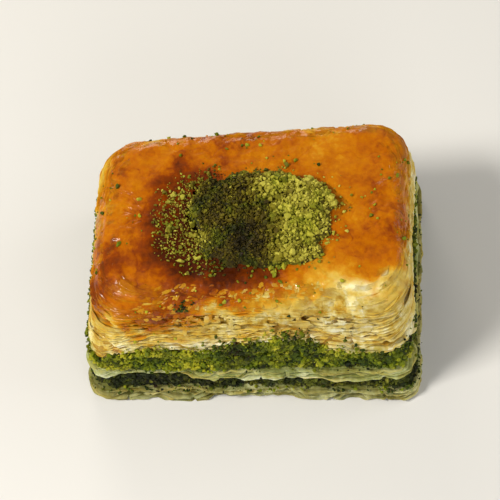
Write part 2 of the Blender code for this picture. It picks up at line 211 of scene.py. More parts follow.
# %% [markdown]
# ## Meshes from rings
#
# A layer's surface is a grid: rows of points that run from the middle of its underside out to the
# wall, up the wall and back in over its top, each row with a point for every column. The two ends are
# closed with one flat face each, so the layer is one closed body. What varies over it, such as how
# browned it is, is stored on the points, where a material can read it.

# %% Build closed bodies
def new_piece(name, points, faces, values):
    """An object from points and faces, with named values stored on its points."""
    mesh = bpy.data.meshes.new(name)
    mesh.from_pydata(np.asarray(points).reshape(-1, 3).tolist(), [], faces)
    for key, numbers in values.items():
        attribute = mesh.attributes.new(key, "FLOAT", "POINT")
        attribute.data.foreach_set("value", np.asarray(numbers, np.float32).ravel())
    mesh.shade_smooth()
    piece = bpy.data.objects.new(name, mesh)
    bpy.context.scene.collection.objects.link(piece)
    print(name, "has", len(mesh.polygons), "faces")
    return piece


def ring_faces(rows, columns):
    """Quads between rows of a closed ring, and a cap at each end."""
    index = np.arange(rows * columns).reshape(rows, columns)
    beside = np.roll(index, -1, axis=1)
    quads = np.stack([index[:-1], beside[:-1], beside[1:], index[1:]], axis=-1)
    return quads.reshape(-1, 4).tolist() + [index[0, ::-1].tolist(), index[-1].tolist()]


def ring_body(name, points, values):
    """A closed body from a grid of points."""
    rows, columns = points.shape[:2]
    return new_piece(name, points, ring_faces(rows, columns), values)


print("a ring of 3 rows and 4 columns has", len(ring_faces(3, 4)), "faces")

# %% [markdown]
# ## Seams between the layers
#
# Where one layer gives way to the next, the line waves a little. At the front the upper nuts swell to
# the right of the middle, and thin out at the left corner, where the top sheets hang over them. The
# lower nuts are pressed nearly shut in places at the right.

# %% Heights of the seams
GAP = 0.3 * MM
SEAM_WAVE = 0.5 * MM
SEAM_WAVE_LENGTH = 7 * MM
NUT_HUMP_X = 6.0 * MM
NUT_HUMP_RISE = 2.3 * MM
NUT_HUMP_HALF_WIDTH = 6.5 * MM
NUT_PINCH_X = -24 * MM
NUT_PINCH_DROP = 3.0 * MM
NUT_PINCH_HALF_WIDTH = 4.6 * MM
LOWER_CLOSING = 1.1 * MM
LOWER_CLOSING_LENGTH = 4 * MM
FLAT_INSIDE = 3.2 * MM


def seam(level):
    """The height of a seam at every column of the wall."""
    x, y = wall(level)
    waves = wavy(stacked(x, y, level), SEAM_WAVE_LENGTH, pattern=round(level / MM))
    height = level + SEAM_WAVE * waves
    if level == TOP_PASTRY_FROM:
        frontness = np.clip(-y / (DEPTH / 2), 0, 1)
        swell = np.exp(-(((x - NUT_HUMP_X) / NUT_HUMP_HALF_WIDTH) ** 2))
        pinch = np.exp(-(((x - NUT_PINCH_X) / NUT_PINCH_HALF_WIDTH) ** 2))
        height = height + frontness * (NUT_HUMP_RISE * swell - NUT_PINCH_DROP * pinch)
    if level == MIDDLE_PASTRY_FROM:
        waves = wavy(stacked(x, y, 0.0), LOWER_CLOSING_LENGTH, pattern=109)
        closed = smooth_step(-0.2, 0.3, waves)
        height = height - LOWER_CLOSING * closed * smooth_step(1 * MM, 7 * MM, x) * (y < 0)
    return height


def layer_rows(low, high, wall_rows, ledge_rows):
    """Insets, heights and sides of a layer's rows, from its underside round to its top.

    Each is an array of rows by columns. The side is -1 on the underside, 0 on the wall and 1 on top.
    """
    rows = []
    for share in np.linspace(1, 0, ledge_rows, endpoint=False):
        rows.append((FLAT_INSIDE * share * EVEN, low + (low.mean() - low) * share, -EVEN))
    for share in np.linspace(0, 1, wall_rows):
        rows.append((0 * EVEN, low + (high - low) * share, 0 * EVEN))
    for share in np.linspace(0, 1, ledge_rows + 1)[1:]:
        rows.append((FLAT_INSIDE * share * EVEN, high + (high.mean() - high) * share, EVEN))
    return np.array(rows).transpose(1, 0, 2)


def layer_points(insets, heights, push):
    """Points of a layer whose rows are drawn in by the insets and pushed out by the push."""
    rows = zip(heights, push, insets)
    return np.array([wall_points(height, out, inset) for height, out, inset in rows])


top_foot = seam(TOP_PASTRY_FROM) / MM
print("the top stack's foot runs from", top_foot.min().round(1), "to", top_foot.max().round(1), "mm")

# %% [markdown]
# ## The skin of the top stack
#
# The top stack has three parts that flow into each other: the wall, a rounded shoulder where the upper
# sheets bend down, and the crust on top. A place on this skin is given by its column and by how far
# down it lies, measured along the skin from the crust's edge. It could be given by its height instead,
# but height says nothing on the flat crust, and browning and sheets both follow the way down.

# %% Find places on the skin
SHOULDER_ARC = 7.0 * MM


def skin(down, columns=ALL):
    """Points of the skin and the directions it faces, for an array whose last axis is the columns.

    Down is negative on the crust, less than the shoulder's arc on the shoulder and more on the wall.
    """
    slope = np.clip(1 - down / SHOULDER_ARC, 0, 1) * math.pi / 2
    inward = np.clip(-down, 0, None)
    wall_height = SHOULDER_FROM - np.clip(down - SHOULDER_ARC, 0, None)
    x, y = outline(wall_height / SHOULDER_FROM, 1 - np.cos(slope), inward, columns)
    height = wall_height + (CRUST_HEIGHT - SHOULDER_FROM) * np.sin(slope)
    out_x, out_y = FACING_X[columns], FACING_Y[columns]
    facing = stacked(out_x * np.cos(slope), out_y * np.cos(slope), np.sin(slope))
    return stacked(x, y, height), facing


def down_to(height):
    """How far down the skin a height on the wall lies."""
    return SHOULDER_ARC + SHOULDER_FROM - height


print("from the crust's edge down to the floor:", round(down_to(0.0) / MM, 1), "mm")

# %% [markdown]
# ## How browned each place is
#
# The oven browns what stands highest. The crust runs from orange to dark caramel, the shoulder fades
# through gold, and the cut sides stay cream with a few golden patches. The brown reaches further down
# at the left of the front than at its right, and its edge wanders. The crust in front of the nuts and
# to their left has caught the most heat. The left of the front shoulder is darkened further, as painted
# shade where the key lamp lights it most.

# %% Browning of places
HEAP_X = 1.4 * MM
HEAP_Y = -1.05 * MM
HEAP_HALF_WIDTH = 12.8 * MM
HEAP_HALF_DEPTH = 8.2 * MM
HEAP_SQUARENESS = 2.5
BROWN_REACH_LEFT = 8.0 * MM
BROWN_REACH_RIGHT = 1.4 * MM
BROWN_REACH_ELSEWHERE = 5.2 * MM
BROWN_EDGE_WAVE = 1.8 * MM
BROWN_EDGE_BLOTS = 1.7 * MM
BROWN_FADE = (-3.0 * MM, 3.9 * MM)
CRUST_SHADE = 0.52
MOTTLE_SHADE = 0.1
CARAMEL_SHADE = 0.48
BRIGHT_SHADE = 0.16
LEFT_FRONT_PAINTED_SHADE = 0.13
GOLDEN_SHADE = 0.2


def heap_distance(x, y):
    """0 at the heap's middle, 1 at its edge and more outside it."""
    across = np.abs(x - HEAP_X) / HEAP_HALF_WIDTH
    along = np.abs(y - HEAP_Y) / HEAP_HALF_DEPTH
    return (across**HEAP_SQUARENESS + along**HEAP_SQUARENESS) ** (1 / HEAP_SQUARENESS)


def brown_reach(points, rightness, frontness):
    """How far down the skin the brown reaches."""
    front_reach = BROWN_REACH_LEFT + (BROWN_REACH_RIGHT - BROWN_REACH_LEFT) * rightness
    reach = BROWN_REACH_ELSEWHERE + (front_reach - BROWN_REACH_ELSEWHERE) * frontness
    reach = reach + BROWN_EDGE_WAVE * wavy(points, 4.5 * MM, pattern=51, octaves=3)
    return reach + BROWN_EDGE_BLOTS * wavy(points, 1.9 * MM, pattern=52, octaves=2)


def browning_and_painted_shade(points, down):
    """A share from 0, cream, through gold and orange to 1, burnt, with painted shade at the left of the
    front shoulder.
    """
    x, y, _ = np.moveaxis(points, -1, 0)
    rightness = smooth_step(-20 * MM, 12 * MM, x)
    frontness = smooth_step(2 * MM, -10 * MM, y)
    reach = brown_reach(points, rightness, frontness)
    browned = 1 - smooth_step(reach + BROWN_FADE[0], reach + BROWN_FADE[1], down)
    mottle = wavy(points, 6 * MM, pattern=53, octaves=4)
    ragged = heap_distance(x, y) + 0.2 * wavy(points, 3 * MM, pattern=54)
    caramel = smooth_step(1.7, 0.95, ragged) * smooth_step(8 * MM, -6 * MM, x + 0.6 * (y - HEAP_Y))
    caramel = caramel * (1 - 0.7 * smooth_step(-12 * MM, -17 * MM, x))
    bright = smooth_step(2 * MM, 12 * MM, x) * smooth_step(-5 * MM, -11 * MM, y)
    # Painted shade: the left of the front shoulder is darkened, where the key lamp lights it most.
    bend = smooth_step(8 * MM, -6 * MM, x) * frontness * smooth_step(-1 * MM, 3 * MM, down)
    shade = CRUST_SHADE + MOTTLE_SHADE * mottle + CARAMEL_SHADE * caramel
    shade = browned * (shade - BRIGHT_SHADE * bright + LEFT_FRONT_PAINTED_SHADE * bend)
    patches = wavy(points, (3.2 * MM, 3.2 * MM, 2.6 * MM), pattern=55, octaves=3)
    golden = smooth_step(0.0, 0.5, patches)
    golden = golden * (1 - 0.85 * rightness * smooth_step(9.5 * MM, 13 * MM, down))
    return shade + GOLDEN_SHADE * golden * (1 - browned) * (1 - 0.2 * rightness)


for side, column in (("left", 0), ("right", LONG_SIDE_COLUMNS)):
    place, _ = skin(np.zeros(1), np.array([column]))
    print("browning of the crust's front", side, "corner:", browning_and_painted_shade(place, np.zeros(1)).round(2))

# %% [markdown]
# ## Sheets at the cut sides
#
# A cut side shows the edges of dozens of sheets, with dark gaps between them and bundles that have
# broken back. A bumpy wall alone would look like plaster. So a core lies a little back from the cut,
# and each sheet's rim is a thin closed band round the whole piece that stands out of it. On the
# shoulder the sheets lie almost flat on each other, so their rims become low terraces.

# %% Make the rim of a sheet
RIM_THICKNESS = 0.1 * MM
RIM_STATIONS = np.array((1.4, 0.5, 0.0)) * MM
RIM_WAVE = 0.3 * MM
RIM_RAGGEDNESS = 0.22 * MM
RIM_CURL = 0.4 * MM
TERRACE_OUT = 0.14 * MM
TERRACE_TORN = 0.62 * MM
BROKEN_DEPTH = 0.8 * MM
FISSURE_DEPTH = 0.45 * MM
SHEET_STEP = 31 * MM
DIVE_INTO_SHOULDER = 78
TOASTED_SHARE = 0.1


def broken_back(points, pattern):
    """A share from 0, whole, to 1, where a bundle of sheets has broken off."""
    return smooth_step(0.22, 0.55, wavy(points, (5 * MM, 5 * MM, 1.6 * MM), pattern))


def fissured(points, pattern):
    """A share of 1 along steep lines where the sheets have cracked through."""
    line = np.abs(wavy(points, (3.5 * MM, 3.5 * MM, 4.5 * MM), pattern))
    kept = smooth_step(-0.2, 0.2, wavy(points, 7 * MM, pattern + 1))
    return smooth_step(0.11, 0.02, line) * kept


def rim_reach(edge, along, flatness, pattern):
    """How far a rim stands out of the skin."""
    reach = RIM_WAVE * wavy(along, 3 * MM, pattern)
    reach = reach + RIM_RAGGEDNESS * wavy(along, 0.9 * MM, pattern + 1)
    torn = smooth_step(-0.1, 0.2, wavy(along, 2.2 * MM, pattern + 7, octaves=2))
    reach = reach * (1 - 0.7 * flatness) + TERRACE_OUT * smooth_step(0.0, 0.3, flatness)
    reach = reach - TERRACE_TORN * torn * smooth_step(0.12, 0.7, flatness)
    reach = reach - BROKEN_DEPTH * (1 - flatness) * broken_back(edge, pattern + 2)
    return reach - FISSURE_DEPTH * (1 - flatness) * fissured(edge, pattern + 8)


def sheet_rim(down, spread, number, pattern):
    """Points of one rim and its stored values, as arrays of points round the band by columns."""
    edge, facing = skin(down)
    along = stacked(edge[:, 0], edge[:, 1], number * SHEET_STEP)
    slope = np.arcsin(np.clip(facing[:, 2], 0, 1))
    flatness = slope / (math.pi / 2)
    reach = rim_reach(edge, along, flatness, pattern) + spread
    curl = RIM_CURL * wavy(along, 3 * MM, pattern + 3, octaves=2) * (1 - 0.6 * flatness)
    upward = stacked(-FACING_X * np.sin(slope), -FACING_Y * np.sin(slope), np.cos(slope))
    dive = np.radians(90 - DIVE_INTO_SHOULDER * flatness)[:, None]
    inward = np.cos(dive) * upward - np.sin(dive) * facing
    across = np.sin(dive) * upward + np.cos(dive) * facing
    upper = []
    for station in RIM_STATIONS:
        bend = curl * np.clip(1 - station / RIM_STATIONS[0], 0, 1) ** 3
        place = edge + facing * reach[:, None] + inward * station + across * bend[:, None]
        upper.append(place)
    upper = np.array(upper)
    lower = upper[::-1] - across * RIM_THICKNESS
    upper[..., 2] = np.maximum(upper[..., 2], RIM_THICKNESS)
    lower[..., 2] = np.maximum(lower[..., 2], 0)
    points = np.concatenate([upper, lower])
    sunk = np.concatenate([RIM_STATIONS, RIM_STATIONS[::-1]]) / RIM_STATIONS[0]
    # Painted shade: each rim is darkened from none at its outer edge to the most where it runs in between
    # the sheets.
    crevice = np.broadcast_to(sunk[:, None] ** 0.6, points.shape[:2])
    mottle = wavy(along, 9 * MM, pattern + 4) + 0.6 * wavy(along, 2 * MM, pattern + 5)
    tint = np.broadcast_to(0.5 + 0.5 * np.clip(mottle, -1, 1), crevice.shape)
    patches = smooth_step(-0.3, 0.8, wavy(along, 4 * MM, pattern + 6))
    return points, crevice, tint, TOASTED_SHARE * (1 - crevice) * patches


print("a rim is", RIM_THICKNESS / MM, "mm thick and reaches", RIM_STATIONS[0] / MM, "mm in")

# %% [markdown]
# ## Many rims in one piece
#
# A piece holds the rims of many sheets, because dozens of separate objects would be slow to draw. The
# sheets cling together in bundles, so the gaps between them are uneven.

# %% Join rims into a piece
def band_faces(rows, columns, first):
    """Quads of a band that closes on itself both ways."""
    index = first + np.arange(rows * columns).reshape(rows, columns)
    beside = np.roll(index, -1, axis=1)
    above = np.roll(index, -1, axis=0)
    across = np.roll(above, -1, axis=1)
    return np.stack([index, beside, across, above], axis=-1).reshape(-1, 4).tolist()


def sheet_rims(name, downs, spreads, pattern, near_nuts=None, bake_scale=1.0):
    """A piece made of the rims of many sheets, from the lowest to the highest."""
    parts = {"points": [], "bake": [], "crevice": [], "tint": [], "stain": []}
    faces = []
    first = 0
    for number, (down, spread) in enumerate(zip(downs, spreads)):
        points, crevice, tint, toasted = sheet_rim(down, spread, number, pattern)
        stain = 0.0 * tint
        if near_nuts is not None:
            stain, paleness = near_nuts(points, down)
            tint = tint + paleness
        parts["points"].append(points.reshape(-1, 3))
        parts["bake"].append((bake_scale * browning_and_painted_shade(points, down) + toasted).ravel())
        parts["crevice"].append(crevice.ravel())
        parts["tint"].append(tint.ravel())
        parts["stain"].append(stain.ravel())
        rows, columns = points.shape[:2]
        faces += band_faces(rows, columns, first)
        first += rows * columns
    joined = {key: np.concatenate(values) for key, values in parts.items()}
    return new_piece(name, joined.pop("points"), faces, joined)


def spaced_shares(count, pattern):
    """Shares from 0 to 1 with uneven gaps."""
    gaps = 1 + 0.65 * wavy(stacked(np.arange(count + 1), 0.0, 0.0), 1.7, pattern)
    return (np.cumsum(gaps) / gaps.sum())[:-1]


print("five sheets lie at these shares of a stack:", spaced_shares(5, pattern=1).round(2))

# %% [markdown]
# ## Relief of the crust and the shoulder
#
# The crust has low waves, fine wrinkles, small blisters and one ring-shaped blister at the front left.
# The shoulder is scaly. Both could be a bump in the material, but the outline of the piece shows them,
# so they are functions that give how far each point is pushed out.

# %% Relief functions
CRUST_WAVE = 0.4 * MM
FINE_RELIEF = 0.05 * MM
FLAKY_HEIGHT = 0.16 * MM
FLAKY_LEVELS = 2.5
RING_BLISTER = (-20.2 * MM, -12.6 * MM)
RING_BLISTER_RADIUS = 1.5 * MM
RING_BLISTER_HALF_WIDTH = 0.35 * MM
RING_BLISTER_HEIGHT = 0.28 * MM


def crust_relief(points):
    """How far the crust is pushed up or down: waves, wrinkles, blisters and the ring."""
    x, y = points[..., 0], points[..., 1]
    flat = stacked(x, y, 0.0)
    seat = smooth_step(1.0, 1.5, heap_distance(x, y))
    relief = -CRUST_WAVE * seat * (0.5 + 0.5 * wavy(flat, 8 * MM, pattern=41, octaves=2))
    bend_x = wavy(flat, 4 * MM, pattern=45)
    bend_y = wavy(flat, 4 * MM, pattern=46)
    bent = flat + 1.2 * MM * stacked(bend_x, bend_y, 0.0)
    wrinkle = 1 - 2 * np.abs(wavy(bent, (4.5 * MM, 1.6 * MM, MM), pattern=47))
    blisters = wavy(flat, 2.6 * MM, pattern=43, octaves=2)
    crinkles = wavy(flat, 0.7 * MM, pattern=49, octaves=2)
    ring = np.hypot(x - RING_BLISTER[0], y - RING_BLISTER[1]) - RING_BLISTER_RADIUS
    ring_height = RING_BLISTER_HEIGHT * np.exp(-((ring / RING_BLISTER_HALF_WIDTH) ** 2))
    return relief + FINE_RELIEF * (wrinkle + blisters + crinkles) + ring_height


def flaky_relief(points):
    """Scales on the shoulder: plateaus with steep edges, from noise cut in steps."""
    scales = wavy(points, (2.2 * MM, 2.2 * MM, 1.4 * MM), pattern=143, octaves=2)
    level = FLAKY_LEVELS * scales
    step = np.floor(level) + smooth_step(0.0, 0.3, level - np.floor(level))
    return FLAKY_HEIGHT * (step / FLAKY_LEVELS) + FINE_RELIEF * wavy(points, 0.6 * MM, pattern=144)


print("the ring blister stands", RING_BLISTER_HEIGHT / MM, "mm high")

# %% [markdown]
# ## The grid of the top stack
#
# The core of the top stack is one grid over the wall, the shoulder and the crust. On the wall it lies
# back, so that the rims stand out of it. The same grid is used again later to lay flakes and crumbs.

# %% Lay out the grid of the top stack
WALL_ROWS = 70
SHOULDER_ROWS = 46
CRUST_ROWS = 40
FIRST_SHOULDER_ROW = WALL_ROWS
FIRST_CRUST_ROW = WALL_ROWS + SHOULDER_ROWS
CRUST_INSIDE = 9.2 * MM
CORE_BACK = 0.5 * MM
CORE_ROUGHNESS = 0.22 * MM
SLOW_WAVE = 0.4 * MM
SLOW_WAVE_LENGTH = 10 * MM
SLOW_PATTERN = 21
TOP_PATTERN = 11
FLAKES_OUT = 0.1 * MM

top_low = seam(TOP_PASTRY_FROM) + GAP / 2
top_path = down_to(top_low)
wall_shares = np.linspace(1, 0, WALL_ROWS)[:, None]
shoulder_shares = np.linspace(1, 0, SHOULDER_ROWS + 1)[1:, None]
crust_shares = np.linspace(0, 1, CRUST_ROWS + 1)[1:, None]
skin_down = np.concatenate([
    SHOULDER_ARC + (top_path - SHOULDER_ARC) * wall_shares,
    SHOULDER_ARC * shoulder_shares * EVEN,
    -CRUST_INSIDE * crust_shares * EVEN,
])
skin_base, skin_facing = skin(skin_down)
steepness = skin_facing[..., 2]
on_top = smooth_step(0.8, 1.0, steepness)
on_wall = smooth_step(0.45, 0.0, steepness)
on_shoulder = smooth_step(0.1, 0.45, steepness) * (1 - 0.8 * smooth_step(-MM, -4 * MM, skin_down))
sunk = CORE_BACK + BROKEN_DEPTH * broken_back(skin_base, TOP_PATTERN + 2)
rough = CORE_ROUGHNESS * wavy(skin_base, (2.5 * MM, 2.5 * MM, 0.34 * MM), pattern=15)
slow = SLOW_WAVE * wavy(skin_base, SLOW_WAVE_LENGTH, SLOW_PATTERN)
push = on_wall * (rough - sunk) + (1 - on_top) * slow
push = push + on_shoulder * flaky_relief(skin_base) + on_top * crust_relief(skin_base)
skin_points = skin_base + skin_facing * push[..., None]
flake_bed = skin_points + skin_facing * (on_wall * (FLAKES_OUT + sunk - rough))[..., None]
skin_bake_and_shade = browning_and_painted_shade(skin_base, skin_down)
print("the top stack's grid has", skin_down.shape[0], "rows and", skin_down.shape[1], "columns")

# %% [markdown]
# ## The core of the top stack
#
# Two more rows close the grid underneath. Green dust from the nuts lies on the sheets just above them,
# and those lowest sheets are the palest, because the oven's heat reached them last.

# %% Shape the core of the top stack
DUST_REACH = 2.8 * MM
LOW_PALENESS = 0.42
CORE_CREVICE_SHADE = 0.9


def near_nuts(points, down):
    """Green dust on the sheets just above the upper nuts, and how much paler those sheets are."""
    above = smooth_step(DUST_REACH, 0.0, top_path - down)
    dust = above * smooth_step(-0.4, 0.5, wavy(points, 1.6 * MM, pattern=57, octaves=2))
    return dust, LOW_PALENESS * smooth_step(5.0 * MM, 2.0 * MM, top_path - down)


def close_underneath(rows, height):
    """The grid's rows with two more that run in under its lowest one."""
    x, y = wall(height, FLAT_INSIDE)
    inner = stacked(x, y, height.mean())
    middle = (inner + rows[0]) / 2
    return np.concatenate([[inner], [middle], rows])


def padded(values):
    """Values of the grid's rows, with two more for the rows that close it."""
    return np.concatenate([values[:1], values[:1], values])


core_mottle = wavy(skin_base, (4 * MM, 4 * MM, 0.6 * MM), pattern=59)
core_values = {
    "bake": skin_bake_and_shade,
    # Painted shade on the wall, where the core lies back behind the rims.
    "crevice": CORE_CREVICE_SHADE * on_wall,
    "tint": 0.5 + 0.5 * core_mottle,
    "stain": near_nuts(skin_base, skin_down)[0],
}
top_core = ring_body(
    "top_core",
    close_underneath(skin_points, top_low),
    {key: padded(values) for key, values in core_values.items()},
)

# %% [markdown]
# ## The rims of the top stack
#
# The rims lie one over the other from the nuts to just under the crust's edge. One wave carries the
# whole stack up and down, and a smaller one parts each sheet from the next. They are split in two
# pieces, so that only the lower ones carry the green dust and follow the core's slow bulges.

# %% Lay the rims of the top stack
TOP_RIM_COUNT = 44
LOWER_RIM_SHARE = 0.6
RIMS_END = 2.2 * MM
STACK_WAVE = 0.5 * MM
SHEET_WAVE = 0.3 * MM


def rim_wave(number):
    """How far a rim is moved down the skin at every column."""
    x, y = wall(SHOULDER_FROM)
    stack = STACK_WAVE * wavy(stacked(x, y, 0.0), 6 * MM, pattern=61, octaves=2)
    place = stacked(x, y, number * SHEET_STEP)
    return stack + SHEET_WAVE * wavy(place, 4 * MM, pattern=63, octaves=2)


rim_downs = [
    top_path + (RIMS_END - top_path) * share + rim_wave(number)
    for number, share in enumerate(spaced_shares(TOP_RIM_COUNT, pattern=65))
]
lower_count = round(TOP_RIM_COUNT * LOWER_RIM_SHARE)
shoulder_line = stacked(*wall(SHOULDER_FROM), 0.0)
slow_spread = SLOW_WAVE * wavy(shoulder_line, SLOW_WAVE_LENGTH, SLOW_PATTERN)
lower_rims = sheet_rims(
    "lower_top_sheets",
    rim_downs[:lower_count],
    [slow_spread] * lower_count,
    TOP_PATTERN,
    near_nuts,
)
upper_rims = sheet_rims(
    "upper_top_sheets",
    rim_downs[lower_count:],
    [0.0] * (TOP_RIM_COUNT - lower_count),
    TOP_PATTERN,
)

# %% [markdown]
# ## The two thin stacks
#
# The stack between the nuts and the stack at the foot are made in the same way, from a core and a few
# rims. The foot's sheets are ragged and have spread under the weight.

# %% Shape the thin stacks
THIN_WALL_ROWS = 12
LEDGE_ROWS = 9
MIDDLE_SPREAD = 0.1 * MM
FOOT_SPREAD = 0.45 * MM
FOOT_DRAWN_IN = 0.5 * MM
LEDGE_WRINKLE = 0.14 * MM
LEDGE_FADE = 1.2 * MM
RIM_MARGIN = 0.05 * MM


def thin_stack(name, low, high, spread, rim_count, drawn_in, pattern):
    """The core and the rims of a thin stack, which may be drawn in at its foot."""
    insets, heights, sides = layer_rows(low, high, THIN_WALL_ROWS, LEDGE_ROWS)
    base = layer_points(insets, heights, np.zeros_like(insets))
    outer = np.exp(-((insets / LEDGE_FADE) ** 2))
    foot = drawn_in * np.exp(-base[..., 2] / (0.5 * MM))
    broken = BROKEN_DEPTH * broken_back(base, pattern + 2)
    points = layer_points(insets, heights, outer * (spread - CORE_BACK - foot - broken))
    wrinkle = wavy(base, 1.5 * MM, pattern + 8, octaves=3)
    points[..., 2] += LEDGE_WRINKLE * wrinkle * (sides > 0)
    dust = smooth_step(-0.5, 0.5, wavy(base, 1.8 * MM, pattern + 9))
    values = {
        "bake": np.zeros(insets.shape),
        # Painted shade on the core's wall, where it lies back behind the rims.
        "crevice": 0.6 * (sides == 0),
        "tint": 0.5 + 0.5 * wavy(base, 3 * MM, pattern + 10),
        "stain": np.where(sides > 0, 1.0, 0.4) * dust,
    }
    core = ring_body(name + "_core", points, values)
    shares = spaced_shares(rim_count, pattern + 11)
    rim_heights = [low + RIM_MARGIN + (high - low - 2 * RIM_MARGIN) * share for share in shares]
    downs = [down_to(height) for height in rim_heights]
    spreads = [spread - drawn_in * np.exp(-height / (0.4 * MM)) for height in rim_heights]
    rims = sheet_rims(name + "_sheets", downs, spreads, pattern, bake_scale=0.0)
    return core, rims


middle_core, middle_rims = thin_stack(
    "middle",
    low=seam(MIDDLE_PASTRY_FROM) + GAP / 2,
    high=seam(UPPER_NUTS_FROM) - GAP / 2,
    spread=MIDDLE_SPREAD,
    rim_count=6,
    drawn_in=0.0,
    pattern=71,
)
bottom_core, bottom_rims = thin_stack(
    "bottom",
    low=np.zeros(COLUMN_COUNT),
    high=seam(LOWER_NUTS_FROM) - GAP / 2,
    spread=FOOT_SPREAD,
    rim_count=8,
    drawn_in=FOOT_DRAWN_IN,
    pattern=91,
)

# %% [markdown]
# ## One flake
#
# Bits of the upper sheets have broken loose and lie on the shoulder and the crust like scales. Each is
# a thin closed plate with a ragged outline. Its points are read off the grid of the top stack, between
# its rows and columns, so the plate follows the skin.

# %% Helpers for flakes
FLAKE_SPOKES = 18
FLAKE_RINGS = np.array((0.0, 0.5, 0.82, 1.0))
RANDOM_SEED = 2024
draw = np.random.default_rng(RANDOM_SEED)


def skin_grid_at(grid, row, column):
    """Values of a grid between its rows and columns."""
    low_row = np.clip(np.floor(row).astype(int), 0, len(grid) - 2)
    low_column = np.floor(column).astype(int)
    up = np.clip(row - low_row, 0, 1)
    along = column - low_column
    if grid.ndim == 3:
        up, along = up[..., None], along[..., None]
    left = low_column % COLUMN_COUNT
    right = (low_column + 1) % COLUMN_COUNT
    low = grid[low_row, left] * (1 - along) + grid[low_row, right] * along
    high = grid[low_row + 1, left] * (1 - along) + grid[low_row + 1, right] * along
    return low * (1 - up) + high * up


def flake_faces(first):
    """Faces of one flake: its upper side, its underside and its rim."""
    rings = len(FLAKE_RINGS)
    side = rings * FLAKE_SPOKES
    faces = []
    for spoke in range(FLAKE_SPOKES):
        beside = (spoke + 1) % FLAKE_SPOKES
        for ring in range(rings - 1):
            low = first + ring * FLAKE_SPOKES
            high = low + FLAKE_SPOKES
            faces.append((low + spoke, high + spoke, high + beside, low + beside))
            low, high = low + side, high + side
            faces.append((low + beside, high + beside, high + spoke, low + spoke))
        upper = first + side - FLAKE_SPOKES
        lower = upper + side
        faces.append((upper + spoke, lower + spoke, lower + beside, upper + beside))
    for cap, turn in ((first, 1), (first + side, -1)):
        faces.append(tuple(cap + spoke for spoke in range(FLAKE_SPOKES))[::turn])
    return faces


print("a flake has", len(flake_faces(0)), "faces")

# %% [markdown]
# ## Flakes
#
# Large scales lie all over the shoulder, small ones among them, light ones on the front's shoulder,
# and a few on the wall. Each keeps a share of the browning that lies under it, its edge dips down to
# the skin, and its lower side is lifted a little.

# %% Lay flakes on the skin
FLAKE_THICKNESS = 0.06 * MM
FLAKE_OFF_SKIN = 0.03 * MM
FLAKE_EDGE_DIP = 0.07 * MM
FLAKE_RAGGEDNESS = 0.65
ALL_ROUND = (0, COLUMN_COUNT)
ALONG_FRONT = (0, LONG_SIDE_COLUMNS)
FLAKE_KINDS = {
    "shoulder_flakes": {
        "count": 280,
        "rows": (FIRST_SHOULDER_ROW - 20, FIRST_CRUST_ROW - 4),
        "columns": ALL_ROUND,
        "half_columns": (1.6, 9.0),
        "half_rows": (1.4, 5.0),
        "lifts": (0.02 * MM, 0.28 * MM),
        "bake_shares": (0.85, 1.1),
    },
    "light_flakes": {
        "count": 240,
        "rows": (FIRST_SHOULDER_ROW - 6, FIRST_CRUST_ROW - 10),
        "columns": ALL_ROUND,
        "half_columns": (1.0, 6.5),
        "half_rows": (0.7, 2.8),
        "lifts": (0.03 * MM, 0.3 * MM),
        "bake_shares": (0.72, 1.0),
    },
    "front_flakes": {
        "count": 180,
        "rows": (FIRST_SHOULDER_ROW, FIRST_CRUST_ROW - 4),
        "columns": ALONG_FRONT,
        "half_columns": (1.0, 4.0),
        "half_rows": (0.8, 3.6),
        "lifts": (0.03 * MM, 0.3 * MM),
        "bake_shares": (0.3, 0.8),
    },
    "wall_flakes": {
        "count": 50,
        "rows": (FIRST_SHOULDER_ROW - 44, FIRST_SHOULDER_ROW + 4),
        "columns": ALL_ROUND,
        "half_columns": (1.5, 6.0),
        "half_rows": (1.0, 4.0),
        "lifts": (0.02 * MM, 0.3 * MM),
        "bake_shares": (0.9, 1.3),
    },
}


